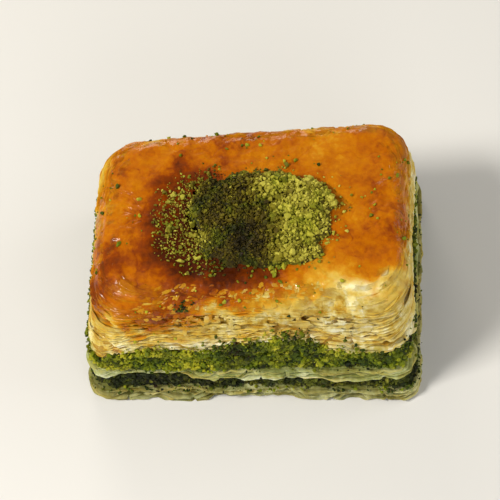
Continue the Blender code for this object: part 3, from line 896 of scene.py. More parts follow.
def lay_flakes(name, count, rows, columns, half_columns, half_rows, lifts, bake_shares):
    """A piece of flakes at random rows and columns, with sizes in rows and columns of the grid."""
    all_points = []
    all_faces = []
    values = {"bake": [], "crevice": [], "tint": [], "stain": []}
    angles = np.arange(FLAKE_SPOKES) / FLAKE_SPOKES * math.tau
    for number in range(count):
        row = draw.uniform(*rows)
        column = draw.uniform(*columns)
        circle = stacked(np.cos(angles), np.sin(angles), number)
        ragged = 1 + FLAKE_RAGGEDNESS * wavy(circle, 0.6, pattern=151, octaves=2)
        rings = FLAKE_RINGS[:, None] * ragged + 0.02
        across = rings * np.cos(angles) * draw.uniform(*half_columns)
        upward = rings * np.sin(angles) * draw.uniform(*half_rows)
        place = skin_grid_at(flake_bed, row + upward, column + across)
        facing = skin_grid_at(skin_facing, row + upward, column + across)
        tilt = np.clip(-upward / half_rows[1], 0, 1) ** 1.5 * draw.uniform(*lifts)
        dip = FLAKE_EDGE_DIP * FLAKE_RINGS[:, None] ** 3
        upper = place + facing * (tilt + FLAKE_OFF_SKIN - dip)[..., None]
        lower = upper - facing * FLAKE_THICKNESS
        all_faces += flake_faces(2 * number * len(FLAKE_RINGS) * FLAKE_SPOKES)
        all_points.append(np.concatenate([upper, lower]).reshape(-1, 3))
        bake = skin_grid_at(skin_bake_and_shade, row + upward, column + across) * draw.uniform(*bake_shares)
        patchy = wavy(place, 1.6 * MM, pattern=153, octaves=2).ravel()
        values["bake"].append(np.tile(np.clip(bake, 0, 1).ravel(), 2))
        values["tint"].append(np.tile(draw.uniform(0.2, 0.8) + 0.3 * patchy, 2))
        # Painted shade in patches, like the darkening of the rims round the flakes.
        values["crevice"].append(np.tile(np.clip(0.16 + 0.4 * patchy, 0, 0.5), 2))
        values["stain"].append(np.zeros(2 * bake.size))
    joined = {key: np.concatenate(parts) for key, parts in values.items()}
    return new_piece(name, np.concatenate(all_points), all_faces, joined)


flakes = [lay_flakes(name, **kind) for name, kind in FLAKE_KINDS.items()]

# %% [markdown]
# ## Cores of the nut layers
#
# Ground nuts are a mass of fine crumb with larger bits in it. What is finer than a grain of rice is
# relief on a core, and the bits are laid on it one by one in a later step. The lower layer lies back
# from the wall and has hollows, most of all on the left half of the front.

# %% Shape the nut cores
NUT_WALL_ROWS = 30
NUT_LEDGE_ROWS = 4
NUT_LEDGE_FADE = 1.0 * MM
CRUMB_RELIEF = 0.3 * MM
UPPER_LYING_BACK = 0.6 * MM
UPPER_PATTERN = 103
LOWER_PATTERN = 113
UPPER_LEVELS = (UPPER_NUTS_FROM, TOP_PASTRY_FROM)
LOWER_LEVELS = (LOWER_NUTS_FROM, MIDDLE_PASTRY_FROM)


def crumb_relief(points, pattern):
    """How far the crumbs push each point out."""
    lumps = wavy(points, 1.5 * MM, pattern, octaves=2)
    crumbs = np.abs(wavy(points, 0.55 * MM, pattern + 3, octaves=2))
    return CRUMB_RELIEF * (0.9 * lumps + 1.3 * crumbs)


def nut_layer(name, levels, lying_back, pattern):
    """The core of a nut layer, which lies back from the wall."""
    low, high = seam(levels[0]) + GAP / 2, seam(levels[1]) - GAP / 2
    insets, heights, _ = layer_rows(low, high, NUT_WALL_ROWS, NUT_LEDGE_ROWS)
    base = layer_points(insets, heights, np.zeros_like(insets))
    outer = np.exp(-((insets / NUT_LEDGE_FADE) ** 2))
    points = layer_points(insets, heights, outer * (crumb_relief(base, pattern) - lying_back))
    tint = 0.5 + 0.5 * wavy(base, 0.8 * MM, pattern + 5, octaves=2)
    return ring_body(name, points, {"tint": tint})


def lower_hollow():
    """How far the lower nuts lie back at each column."""
    x, y = wall(LOWER_NUTS_FROM)
    hollow = smooth_step(-0.2, 0.7, wavy(stacked(x, y, 0.0), 5 * MM, pattern=101, octaves=2))
    front_left = (x < 1 * MM) & (y < 0)
    return (0.65 + 0.5 * hollow + 0.25 * front_left) * MM


upper_nuts = nut_layer("upper_nut_core", UPPER_LEVELS, UPPER_LYING_BACK, UPPER_PATTERN)
lower_nuts = nut_layer("lower_nut_core", LOWER_LEVELS, lower_hollow(), LOWER_PATTERN)

# %% [markdown]
# ## The heap's core
#
# The heap is a low mound, dense in the middle and at the right, that thins out to single grains at its
# left. One function says how dense it is at each place. The core's height follows it, and so does the
# number of grains that are laid on it later, so the core never shows as bare ground.

# %% Shape the heap's core
HEAP_RINGS = 44
HEAP_SPOKES = 180
HEAP_THICKNESS = 1.35 * MM
HEAP_FOOT = CRUST_HEIGHT + 0.05 * MM
HEAP_UNDERSIDE = CRUST_HEIGHT - 0.3 * MM
HEAP_SUNK = 0.4 * MM
HEAP_SPREAD = 1.12
HEAP_PATTERN = 121
SPARSE_DENSITY = 0.12


def heap_density(x, y):
    """A share from 1, where the heap is full, to 0, past its uneven edge or at its sparse left end."""
    flat = stacked(x, y, 0.0)
    uneven = 0.13 * wavy(flat, 4 * MM, pattern=127) + 0.09 * wavy(flat, 1.6 * MM, pattern=128)
    distance = heap_distance(x, y)
    edge = smooth_step(1.0, 0.62, distance + uneven) * smooth_step(HEAP_SPREAD, 0.82, distance)
    from_left = x - HEAP_X + 0.45 * (y - HEAP_Y) + 1.5 * MM * wavy(flat, 3 * MM, pattern=129)
    fullness = smooth_step(-10 * MM, -3.5 * MM, from_left)
    return edge * (SPARSE_DENSITY + (1 - SPARSE_DENSITY) * fullness)


def heap_thickness(x, y):
    """How high the heap's core stands, which is below the crust where the heap is sparse."""
    density = heap_density(x, y)
    return HEAP_THICKNESS * density**0.8 - HEAP_SUNK * smooth_step(0.35, 0.05, density)


def heap_bumps(x, y):
    """The crumbs' relief, which fades where the heap is sparse."""
    relief = crumb_relief(stacked(x, y, 0.0), HEAP_PATTERN)
    return relief * smooth_step(0.15, 0.5, heap_density(x, y))


def heap_core():
    """The mound, from rings of points that run in from its edge."""
    angle = np.arange(HEAP_SPOKES) / HEAP_SPOKES * math.tau
    cosine, sine = np.cos(angle), np.sin(angle)
    square = np.abs(cosine) ** HEAP_SQUARENESS + np.abs(sine) ** HEAP_SQUARENESS
    rings = []
    for ring in range(HEAP_RINGS):
        reach = HEAP_SPREAD * (1 - ring / HEAP_RINGS) * square ** (-1 / HEAP_SQUARENESS)
        x = HEAP_X + HEAP_HALF_WIDTH * reach * cosine
        y = HEAP_Y + HEAP_HALF_DEPTH * reach * sine
        rings.append(stacked(x, y, HEAP_FOOT + heap_thickness(x, y) + heap_bumps(x, y)))
    foot = rings[0].copy()
    foot[..., 2] = HEAP_UNDERSIDE
    points = np.array([foot] + rings)
    rightness = smooth_step(HEAP_X, HEAP_X + 6 * MM, points[..., 0])
    mottle = wavy(points, 0.8 * MM, pattern=125, octaves=2)
    return ring_body("heap_core", points, {"tint": 0.26 + 0.25 * rightness + 0.16 * mottle})


heap = heap_core()

# %% [markdown]
# ## Bits of chopped nut
#
# A chopped nut breaks into angular bits with flat facets. The hull of a few random points has just
# that look, so a small set of hulls is made once, and each bit in the piece is one of them, turned,
# squashed and sized by a seeded draw. All bits of one kind are joined in one mesh, which is far quicker
# to draw than thousands of objects. A bit also stores a tint, which later picks its green.

# %% Make the shapes of bits
SHAPE_COUNT = 14
SHAPE_POINTS = 13


def nut_shape():
    """Corners and triangles of one angular bit of about unit radius."""
    shape = bmesh.new()
    for _ in range(SHAPE_POINTS):
        direction = Vector(draw.normal(size=3)).normalized()
        shape.verts.new(direction * draw.uniform(0.75, 1.0))
    hull = bmesh.ops.convex_hull(shape, input=shape.verts[:])
    bmesh.ops.delete(shape, geom=hull["geom_interior"], context="VERTS")
    bmesh.ops.triangulate(shape, faces=shape.faces[:])
    bmesh.ops.recalc_face_normals(shape, faces=shape.faces[:])
    shape.verts.index_update()
    corners = np.array([corner.co for corner in shape.verts])
    triangles = np.array([[corner.index for corner in face.verts] for face in shape.faces])
    shape.free()
    return corners, triangles


def random_turns(count):
    """Random rotation matrices, from normalised random quaternions."""
    q = draw.normal(size=(count, 4))
    w, x, y, z = (q / np.linalg.norm(q, axis=1, keepdims=True)).T
    rows = [
        [1 - 2 * (y * y + z * z), 2 * (x * y - z * w), 2 * (x * z + y * w)],
        [2 * (x * y + z * w), 1 - 2 * (x * x + z * z), 2 * (y * z - x * w)],
        [2 * (x * z - y * w), 2 * (y * z + x * w), 1 - 2 * (x * x + y * y)],
    ]
    return np.array(rows).transpose(2, 0, 1)


NUT_SHAPES = [nut_shape() for _ in range(SHAPE_COUNT)]
print("triangles of each shape:", [len(triangles) for _, triangles in NUT_SHAPES])

# %% [markdown]
# ## Laying bits
#
# Real crumb has many small bits and few large ones, so radii come from a power of an even draw. Tints
# run together in clusters, as bits of one nut lie near each other, and differ a little from bit to bit.

# %% Helpers that lay bits
CLUSTER_TINT = 0.3
SMALL_CLUSTER_TINT = 0.36
SINGLE_TINT = 0.13


def lay_bits(name, places, radii, tints):
    """One mesh of many bits, each at its place with its radius and tint."""
    turns = random_turns(len(places))
    squash = draw.uniform(0.55, 1.0, size=(len(places), 3))
    kinds = draw.integers(SHAPE_COUNT, size=len(places))
    all_points = []
    all_faces = []
    all_tints = []
    first = 0
    for place, radius, tint, turn, stretch, kind in zip(places, radii, tints, turns, squash, kinds):
        corners, triangles = NUT_SHAPES[kind]
        all_points.append((corners * stretch * radius) @ turn.T + place)
        all_faces.append(triangles + first)
        all_tints.append(np.full(len(corners), tint))
        first += len(corners)
    values = {"tint": np.concatenate(all_tints)}
    piece = new_piece(name, np.concatenate(all_points), np.concatenate(all_faces).tolist(), values)
    piece.data.shade_flat()
    return piece


def bit_radii(count, small, large, rarity):
    """Radii from small to large. The higher the rarity, the fewer bits are large."""
    return small + (large - small) * draw.uniform(size=count) ** rarity


def green_tints(places, middle, clustered=1.0):
    """Tints about a middle one."""
    clusters = CLUSTER_TINT * wavy(places, 4 * MM, pattern=131)
    clusters = clusters + SMALL_CLUSTER_TINT * wavy(places, 1.4 * MM, pattern=132)
    single = draw.normal(0, SINGLE_TINT, len(places))
    return np.clip(middle + clustered * clusters + single, 0, 1)


def lay_green_bits(name, places, radii_range, rarity, middle):
    """Bits of these sizes, with tints about the middle one."""
    radii = bit_radii(len(places), *radii_range, rarity)
    return lay_bits(name, places, radii, green_tints(places, middle))


print("five radii from 0.2 to 1 mm:", (0.2 + 0.8 * np.linspace(0, 1, 5) ** 2.2).round(2))

# %% [markdown]
# ## Bits of the upper nuts
#
# The upper nuts are bright and spill up on the sheets above them, most of all over the swell at the
# front. Their left half is the lightest. Larger chunks lie a little deeper.

# %% Lay the bits of the upper nuts
UPPER_BITS = 5200
UPPER_CHUNKS = 420
SPILLED_BITS = 1100
SWELL_BITS = 900
LEFT_SPILLED_BITS = 420
SWELL_MIDDLE = 0.64
SWELL_HALF_WIDTH = 0.1
LEFT_SPILL = (0.08, 0.5)
CHUNKS_DEEPER = 0.2 * MM
UPPER_TINT = 0.5
LEFT_TINT = 0.13


def side_places(count, levels, lying_back, pattern):
    """Random places on the side of a nut layer's core."""
    columns = draw.integers(COLUMN_COUNT, size=count)
    low, high = seam(levels[0])[columns], seam(levels[1])[columns]
    heights = low + (high - low) * draw.uniform(0.02, 0.98, size=count)
    x, y = wall(heights, 0.0, columns)
    relief = crumb_relief(stacked(x, y, heights), pattern)
    out = relief + draw.normal(0.06 * MM, 0.1 * MM, size=count)
    out = out - np.broadcast_to(lying_back, COLUMN_COUNT)[columns]
    return wall_points(heights, out, columns=columns)


def spilled_places(columns, fall_off):
    """Random places just above the upper nuts, fewer the higher they lie."""
    count = len(columns)
    above = draw.exponential(fall_off, size=count) - 0.3 * MM
    points, facing = skin(top_path[columns] - above, columns)
    return points + facing * draw.uniform(-0.05, 0.3, size=(count, 1)) * MM


spilled_columns = draw.integers(COLUMN_COUNT, size=SPILLED_BITS)
left_columns = LONG_SIDE_COLUMNS * draw.uniform(*LEFT_SPILL, size=LEFT_SPILLED_BITS)
swell_columns = LONG_SIDE_COLUMNS * draw.normal(SWELL_MIDDLE, SWELL_HALF_WIDTH, size=SWELL_BITS)
upper_places = np.concatenate([
    side_places(UPPER_BITS, UPPER_LEVELS, UPPER_LYING_BACK, UPPER_PATTERN),
    spilled_places(spilled_columns, 0.65 * MM),
    spilled_places(swell_columns.astype(int), 1.1 * MM),
    spilled_places(left_columns.astype(int), 0.7 * MM),
])
upper_middle = UPPER_TINT + LEFT_TINT * smooth_step(2 * MM, -8 * MM, upper_places[:, 0])
upper_bits = lay_green_bits(
    "upper_nut_bits", upper_places, (0.18 * MM, 0.62 * MM), rarity=2.2, middle=upper_middle
)
chunks_back = UPPER_LYING_BACK + CHUNKS_DEEPER
chunk_places = side_places(UPPER_CHUNKS, UPPER_LEVELS, chunks_back, UPPER_PATTERN)
upper_chunks = lay_green_bits(
    "upper_nut_chunks", chunk_places, (0.6 * MM, 1.05 * MM), rarity=1.5, middle=0.55
)

# %% [markdown]
# ## Bits of the lower nuts and of the ledges
#
# The lower nuts are darker and lie deeper; their colour is their own darker green and also painted
# shade of the hollow they lie in. Bits that fell out of both layers lie on the ledges where
# the thin stacks stand out past the nuts, with a small drift of them at the front right corner.

# %% Lay the bits of the lower nuts and of the ledges
LOWER_BITS = 3200
FOOT_LEDGE_BITS = 520
MIDDLE_LEDGE_BITS = 260
CORNER_BITS = 90
CORNER_SPREAD = 9
FRONT_RIGHT_CORNER = LONG_SIDE_COLUMNS + CORNER_COLUMNS // 2
LEDGE_TINT = 0.42
LOWER_TINT = 0.36
RIGHT_TINT = 0.25


def ledge_places(columns, level, spread):
    """Random places on the ledge where a thin stack stands out past the nuts above it."""
    count = len(columns)
    height = seam(level)[columns] + draw.uniform(0, 0.2, size=count) * MM
    out = spread + draw.uniform(-1.1, 0.15, size=count) * MM
    return wall_points(height, out, columns=columns)


lower_places = side_places(LOWER_BITS, LOWER_LEVELS, lower_hollow(), LOWER_PATTERN)
corner_columns = draw.normal(FRONT_RIGHT_CORNER, CORNER_SPREAD, size=CORNER_BITS).astype(int)
foot_columns = draw.integers(COLUMN_COUNT, size=FOOT_LEDGE_BITS)
foot_places = ledge_places(foot_columns, LOWER_NUTS_FROM, FOOT_SPREAD)
middle_columns = draw.integers(COLUMN_COUNT, size=MIDDLE_LEDGE_BITS)
middle_places = ledge_places(middle_columns, UPPER_NUTS_FROM, MIDDLE_SPREAD)
corner_places = ledge_places(corner_columns, LOWER_NUTS_FROM, FOOT_SPREAD)
fallen_places = np.concatenate([foot_places, middle_places, corner_places])
ledge_bits = lay_green_bits(
    "ledge_bits", fallen_places, (0.14 * MM, 0.46 * MM), rarity=2, middle=LEDGE_TINT
)
lower_middle = LOWER_TINT + RIGHT_TINT * smooth_step(0, 12 * MM, lower_places[:, 0])
lower_bits = lay_green_bits(
    "lower_nut_bits", lower_places, (0.2 * MM, 0.7 * MM), rarity=2.4, middle=lower_middle
)

# %% [markdown]
# ## Bits of the heap
#
# The heap is dense and dark in the middle, with coarser and lighter bits at its right. At its left the
# bits lie singly, and the glazed crust shows between them.

# %% Lay the bits of the heap
HEAP_BITS = 8800
COARSE_HEAP_BITS = 620
TRIES_PER_BIT = 8
HEAP_TINT = 0.43
HEAP_RIGHT_TINT = 0.42
HEAP_LEFT_TINT = 0.32
DARK_SPOT_TINT = 0.32
DARK_SPOT = (0.6 * MM, -5.2 * MM)
DARK_SPOT_SIZE = (3 * MM, 3.4 * MM)
HEAP_CLUSTERED = 0.3


def heap_places(count):
    """Random places on the heap, fewer where it is sparse."""
    tries = count * TRIES_PER_BIT
    x = HEAP_X + HEAP_HALF_WIDTH * HEAP_SPREAD * draw.uniform(-1, 1, size=tries)
    y = HEAP_Y + HEAP_HALF_DEPTH * HEAP_SPREAD * draw.uniform(-1, 1, size=tries)
    left_end = smooth_step(HEAP_X - 2 * MM, HEAP_X - 6 * MM, x)
    fringe = (0.05 + 0.25 * left_end) * smooth_step(1.25, 0.9, heap_distance(x, y))
    density = heap_density(x, y)
    covered = np.maximum(density, smooth_step(0.12, 0.36, density))
    kept = np.flatnonzero(draw.uniform(size=tries) < fringe + covered)[:count]
    height = HEAP_FOOT + np.clip(heap_thickness(x, y), -0.05 * MM, None) + heap_bumps(x, y)
    return stacked(x, y, height)[kept]


def heap_bits(name, count, small, large, rarity):
    """Bits on the heap, larger and lighter at its right and dark near one spot."""
    places = heap_places(count)
    count = len(places)
    radii = bit_radii(count, small, large, rarity)
    x, y = places[:, 0], places[:, 1]
    density = heap_density(x, y)
    places[:, 2] += radii * 0.5 + np.abs(draw.normal(0, 0.12 * MM, count)) * density
    from_middle = x - HEAP_X + 2.4 * MM * wavy(places, 3.5 * MM, pattern=137, octaves=2)
    rightness = smooth_step(-1.5 * MM, 6 * MM, from_middle)
    left_end = smooth_step(0.5, 0.15, density) * smooth_step(HEAP_X - 4 * MM, HEAP_X - 8 * MM, x)
    spot_x = (x - DARK_SPOT[0]) / DARK_SPOT_SIZE[0]
    spot_y = (y - DARK_SPOT[1]) / DARK_SPOT_SIZE[1]
    middle = HEAP_TINT + HEAP_RIGHT_TINT * rightness + HEAP_LEFT_TINT * left_end
    middle = middle - DARK_SPOT_TINT * np.exp(-(spot_x**2) - spot_y**2)
    radii = radii * (0.85 + 0.25 * rightness)
    return lay_bits(name, places, radii, green_tints(places, middle, HEAP_CLUSTERED))


fine_heap_bits = heap_bits("fine_heap_bits", HEAP_BITS, 0.13 * MM, 0.4 * MM, rarity=1.8)
coarse_heap_bits = heap_bits("coarse_heap_bits", COARSE_HEAP_BITS, 0.34 * MM, 0.8 * MM, rarity=2.5)

# %% [markdown]
# ## Loose bits
#
# Some bits have strayed over the crust, and two small groups lie on it: a dark one on the shoulder and
# a bright one in front of the heap. They are laid on the finished surface, so that each one touches
# what it lies on.

# %% Lay the loose bits
LOOSE_BITS = 130
LOOSE_TINT = 0.76


def loose_bits(count, small, large, tint):
    """Bits scattered over the crust."""
    row = draw.integers(FIRST_SHOULDER_ROW + 10, FIRST_CRUST_ROW + 20, size=count)
    column = draw.integers(COLUMN_COUNT, size=count)
    radii = bit_radii(count, small, large, 2)
    places = skin_points[row, column] + skin_facing[row, column] * (radii * 0.35)[:, None]
    return lay_bits("crust_bits", places, radii, np.clip(draw.normal(tint, 0.2, count), 0, 1))


def clump(name, count, middle, spread, small, large, tint):
    """A small group of bits that lies round one place on the crust."""
    row = draw.normal(middle[0], spread[0], size=count)
    column = draw.normal(middle[1], spread[1], size=count)
    radii = bit_radii(count, small, large, 1.5)
    lift = skin_grid_at(skin_facing, row, column) * (radii * 0.4)[:, None]
    places = skin_grid_at(skin_points, row, column) + lift
    return lay_bits(name, places, radii, np.clip(draw.normal(tint, 0.12, count), 0, 1))


crust_bits = loose_bits(LOOSE_BITS, 0.18 * MM, 0.6 * MM, LOOSE_TINT)
shoulder_clump = clump(
    "shoulder_clump",
    count=26,
    middle=(FIRST_SHOULDER_ROW + 20, LONG_SIDE_COLUMNS * 0.22),
    spread=(3, 2.5),
    small=0.15 * MM,
    large=0.45 * MM,
    tint=0.2,
)
bright_clump = clump(
    "bright_clump",
    count=16,
    middle=(FIRST_CRUST_ROW + 9, LONG_SIDE_COLUMNS * 0.64),
    spread=(3, 7),
    small=0.35 * MM,
    large=0.75 * MM,
    tint=0.85,
)

# %% [markdown]
# ## Shader maths
#
# A material's tree is easier to read as a formula than as a net of nodes. The Wire class stands for
# one output, so that `1 - mask * 2` adds its Math nodes by itself. Every other node is added by one
# method of the Finish class, which sets the node's own settings first and then its sockets.

# %% The Wire and Finish classes
class Wire:
    """One output socket in a finish's tree. Sums with it add Math nodes."""

    def __init__(self, finish, socket):
        self.finish = finish
        self.socket = socket

    def math(self, operation, first, second):
        return self.finish.node("ShaderNodeMath", {"operation": operation}, {0: first, 1: second})

    def __add__(self, other):
        return self.math("ADD", self, other)

    def __sub__(self, other):
        return self.math("SUBTRACT", self, other)

    def __rsub__(self, other):
        return self.math("SUBTRACT", other, self)

    def __mul__(self, other):
        return self.math("MULTIPLY", self, other)

    __radd__ = __add__
    __rmul__ = __mul__

    def floored(self):
        return self.math("FLOOR", self, 0.0)

    def size(self):
        return self.math("ABSOLUTE", self, 0.0)

    def swing(self, share):
        """Noise from 0 to 1 as a change up and down, by at most half the share."""
        return (self - 0.5) * share

    def clamped(self):
        settings = {"operation": "MULTIPLY", "use_clamp": True}
        return self.finish.node("ShaderNodeMath", settings, {0: self, 1: 1.0})


def linear(colour):
    """A colour as seen, 0 to 255, as the linear values that shaders take."""
    seen = np.array(colour) / 255
    values = np.where(seen <= 0.04045, seen / 12.92, ((seen + 0.055) / 1.055) ** 2.4)
    return (*values.tolist(), 1.0)


class Finish:
    """A material on the Principled shader, with one method that adds any node to its tree."""

    def __init__(self, name):
        self.material = bpy.data.materials.new(name)
        self.material.use_nodes = True
        self.tree = self.material.node_tree
        self.shader = self.tree.nodes["Principled BSDF"]
        self.place = self.node("ShaderNodeTexCoord", {}, {}, "Object")

    def node(self, kind, settings, inputs, output=0):
        """A new node's output. Its sockets take values or wires."""
        node = self.tree.nodes.new(kind)
        for key, value in settings.items():
            if key == "stops":
                self.set_stops(node.color_ramp, value)
            else:
                setattr(node, key, value)
        for key, value in inputs.items():
            self.feed(node.inputs[key], value)
        return Wire(self, node.outputs[output])

    def set_stops(self, ramp, stops):
        while len(ramp.elements) > 1:
            ramp.elements.remove(ramp.elements[0])
        ramp.elements[0].position = stops[0][0]
        ramp.elements[0].color = linear(stops[0][1])
        for position, colour in stops[1:]:
            ramp.elements.new(position).color = linear(colour)

    def feed(self, socket, value):
        if isinstance(value, Wire):
            self.tree.links.new(value.socket, socket)
        else:
            socket.default_value = value

    def set(self, name, value):
        self.feed(self.shader.inputs[name], value)

    def stored(self, name):
        """A value that the mesh stores on its points."""
        return self.node("ShaderNodeAttribute", {"attribute_name": name}, {}, "Fac")

    def noise(self, size, detail=2.0, stretch=(1, 1, 1)):
        """Noise from 0 to 1 with features of this size, stretched along the axes."""
        scaled = self.node("ShaderNodeMapping", {}, {"Vector": self.place, "Scale": stretch})
        inputs = {"Vector": scaled, "Scale": 1 / size, "Detail": detail}
        return self.node("ShaderNodeTexNoise", {}, inputs)

    def ramp(self, value, stops):
        return self.node("ShaderNodeValToRGB", {"stops": stops}, {"Fac": value})

    def blend(self, share, first, second):
        """A mix of two colours."""
        inputs = {0: share, 6: first, 7: second}
        return self.node("ShaderNodeMix", {"data_type": "RGBA"}, inputs, 2)

    def bump(self, height, depth, strength):
        inputs = {"Height": height, "Distance": depth, "Strength": strength}
        self.set("Normal", self.node("ShaderNodeBump", {}, inputs))

    def let_light_in(self, share, radius, scale):
        """How much light enters the surface, how far each colour gets and over what depth."""
        self.set("Subsurface Weight", share)
        self.set("Subsurface Radius", radius)
        self.set("Subsurface Scale", scale)

    def dress(self, piece, slot, *nodes):
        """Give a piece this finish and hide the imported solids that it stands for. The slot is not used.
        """
        piece.data.materials.clear()
        piece.data.materials.append(self.material)
        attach(piece, "root")
        if nodes:
            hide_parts(*nodes)

    def dress_layer(self, slot, node, core, *others):
        """Dress a layer's core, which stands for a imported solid, and all that lies on it."""
        self.dress(core, slot, node)
        for piece in others:
            self.dress(piece, slot)
        print(node, "is dressed in", 1 + len(others), "pieces")


print("a mid grey as a linear value:", round(linear((128, 128, 128))[0], 3))

# %% [markdown]
# ## Pastry
#
# Baked pastry goes from cream through gold and orange to caramel, and syrup lies on the browned part
# as a clear coat. One ramp holds that whole run, and the stored browning, disturbed by noise, picks the
# place on it. The pale sides take their colour from a second ramp. Light gets a little way into the
# thin sheets, which a small subsurface share gives.

# %% The pastry finish
TOP_STOPS = [
    (0.0, (150, 100, 18)),
    (0.3, (188, 146, 46)),
    (0.55, (211, 184, 98)),
    (0.8, (232, 216, 150)),
    (1.0, (244, 236, 192)),
]
MIDDLE_STOPS = [
    (0.0, (98, 102, 44)),
    (0.4, (140, 146, 84)),
    (0.7, (172, 178, 124)),
    (1.0, (214, 216, 172)),
]
BOTTOM_STOPS = [
    (0.0, (84, 84, 38)),
    (0.4, (120, 120, 68)),
    (0.7, (150, 152, 102)),
    (1.0, (190, 188, 138)),
]
BAKE_STOPS = [
    (0.0, (216, 194, 112)),
    (0.12, (212, 178, 76)),
    (0.26, (204, 148, 34)),
    (0.42, (188, 114, 6)),
    (0.58, (172, 92, 1)),
    (0.74, (132, 56, 1)),
    (1.0, (70, 24, 1)),
]
# Painted shadow colour for the gaps where the pastry is browned.
BROWNED_CREVICE_SHADE_COLOUR = (122, 62, 8)
STAIN_COLOUR = (104, 112, 22)
SHEET_STEPS = 12.0
FOLD_SHARPNESS = 45.0
SYRUP_IOR = 1.32


def pastry_finish(name, pale_stops, crevice_shade_colour, stain_share, gloss):
    """Pastry with these colours where it is pale, this painted shade colour in its gaps, this much nut
    dust and this much syrup.
    """
    finish = Finish(name)
    bake = finish.stored("bake")
    tint = finish.stored("tint")
    patches = finish.noise(4.5 * MM, 4.0)
    blots = finish.noise(1.5 * MM, 3.0)
    specks = finish.noise(0.6 * MM, 3.0)
    cracks = finish.noise(0.7 * MM, 3.0, stretch=(1, 1, 0.25))
    sheets = (finish.noise(9 * MM, 4.0) * SHEET_STEPS).floored() * (1 / SHEET_STEPS)
    folds = (1 - (finish.noise(7 * MM, 3.0) - 0.5).size() * FOLD_SHARPNESS).clamped() * patches
    browned = (bake * 4).clamped()
    level = bake + browned * (patches.swing(0.4) + blots.swing(0.34) + specks.swing(0.24))
    level = level + browned * ((sheets - 0.45) * 0.42 + folds * 0.12)
    baked = finish.ramp(level, BAKE_STOPS)
    pale_level = tint * 0.5 + 0.25 + cracks.swing(0.9) + patches.swing(1.9) + blots.swing(0.8)
    colour = finish.blend(browned, finish.ramp(pale_level, pale_stops), baked)
    # Painted shade: the stored darkening of the gaps blends the colour towards a shadow colour.
    shade = (finish.stored("crevice") * 0.75).clamped()
    shadow = finish.blend(browned, linear(crevice_shade_colour), linear(BROWNED_CREVICE_SHADE_COLOUR))
    colour = finish.blend(shade, colour, shadow)
    stain = (finish.stored("stain") * stain_share).clamped()
    finish.set("Base Color", finish.blend(stain, colour, linear(STAIN_COLOUR)))
    finish.set("Roughness", (0.62 - 0.2 * browned + specks.swing(0.3)).clamped())
    finish.set("Specular IOR Level", 0.05)
    wet = ((blots - 0.4) * 5).clamped()
    finish.set("Coat Weight", gloss * (0.6 + 0.4 * browned) * (0.12 + 0.88 * wet))
    finish.set("Coat Roughness", 0.1)
    finish.set("Coat IOR", SYRUP_IOR)
    finish.let_light_in(0.3, (1.0, 0.7, 0.3), 1.2 * MM)
    finish.bump(sheets * 0.9 + specks * 0.08 + cracks * 0.05 - folds * 0.1, 1.0 * MM, 0.6)
    return finish


# The third value of each finish is the painted shadow colour of its gaps.
top_finish = pastry_finish("browned_pastry", TOP_STOPS, (160, 122, 46), 0.5, 0.75)
middle_finish = pastry_finish("pale_wet_pastry", MIDDLE_STOPS, (98, 98, 44), 0.45, 0.4)
bottom_finish = pastry_finish("soaked_pastry", BOTTOM_STOPS, (94, 86, 36), 0.35, 0.4)
top_finish.dress_layer(
    "browned_top_sheets", "top_pastry", top_core, lower_rims, upper_rims, *flakes
)
middle_finish.dress_layer("middle_sheets", "middle_pastry", middle_core, middle_rims)
bottom_finish.dress_layer("bottom_sheets", "bottom_pastry", bottom_core, bottom_rims)

# %% [markdown]
# ## Ground pistachio
#
# Bits of pistachio run from dark green skin side to yellow-green flesh, and some keep a brown skin.
# The stored tint picks the green, and fine noise breaks up each facet. In some patches the colour runs
# over a second ramp, because one batch of nuts is never all of one green.

# %% The nut finishes
NUT_STOPS = [
    (0.0, (46, 26, 8)),
    (0.06, (12, 22, 1)),
    (0.3, (36, 52, 1)),
    (0.52, (72, 86, 2)),
    (0.78, (114, 124, 5)),
    (1.0, (162, 158, 28)),
]
HEAP_STOPS = [
    (0.0, (26, 20, 1)),
    (0.28, (54, 44, 2)),
    (0.5, (88, 76, 6)),
    (0.75, (128, 119, 24)),
    (1.0, (188, 180, 70)),
]
# Painted shade: the lower nuts' colour is their own darker green and also the shade of the hollow they
# lie in.
DARK_AND_SHADED_NUT_STOPS = [
    (0.0, (10, 14, 2)),
    (0.5, (34, 42, 6)),
    (1.0, (92, 98, 22)),
]


def nut_finish(name, stops, patch_stops, patch_share):
    """Nuts whose colour runs over the first stops, and in some patches over the second ones."""
    finish = Finish(name)
    specks = finish.noise(0.35 * MM, 2.0)
    patches = ((finish.noise(2.6 * MM, 3.0) - 0.46) * 6).clamped() * patch_share
    level = finish.stored("tint") + specks.swing(0.35)
    colour = finish.blend(patches, finish.ramp(level, stops), finish.ramp(level, patch_stops))
    finish.set("Base Color", colour)
    finish.set("Roughness", (0.5 + specks * 0.3).clamped())
    finish.set("Specular IOR Level", 0.2)
    finish.let_light_in(0.1, (0.8, 1.0, 0.2), 0.5 * MM)
    finish.bump(specks, 0.08 * MM, 0.6)
    return finish


green_finish = nut_finish("green_pistachio", NUT_STOPS, HEAP_STOPS, 0.3)
heap_finish = nut_finish("olive_pistachio", HEAP_STOPS, NUT_STOPS, 0.6)
dark_and_shaded_finish = nut_finish("dark_shaded_pistachio", DARK_AND_SHADED_NUT_STOPS, HEAP_STOPS, 0.3)
green_finish.dress_layer("upper_nuts", "upper_pistachio", upper_nuts, upper_bits, upper_chunks)
dark_and_shaded_finish.dress_layer("lower_nuts", "lower_pistachio", lower_nuts, lower_bits)
heap_finish.dress_layer("heap_nuts", "pistachio_heap", heap, fine_heap_bits, coarse_heap_bits)
green_finish.dress(ledge_bits, "lower_nuts")
for loose_piece in (crust_bits, shoulder_clump, bright_clump):
    green_finish.dress(loose_piece, "heap_nuts")

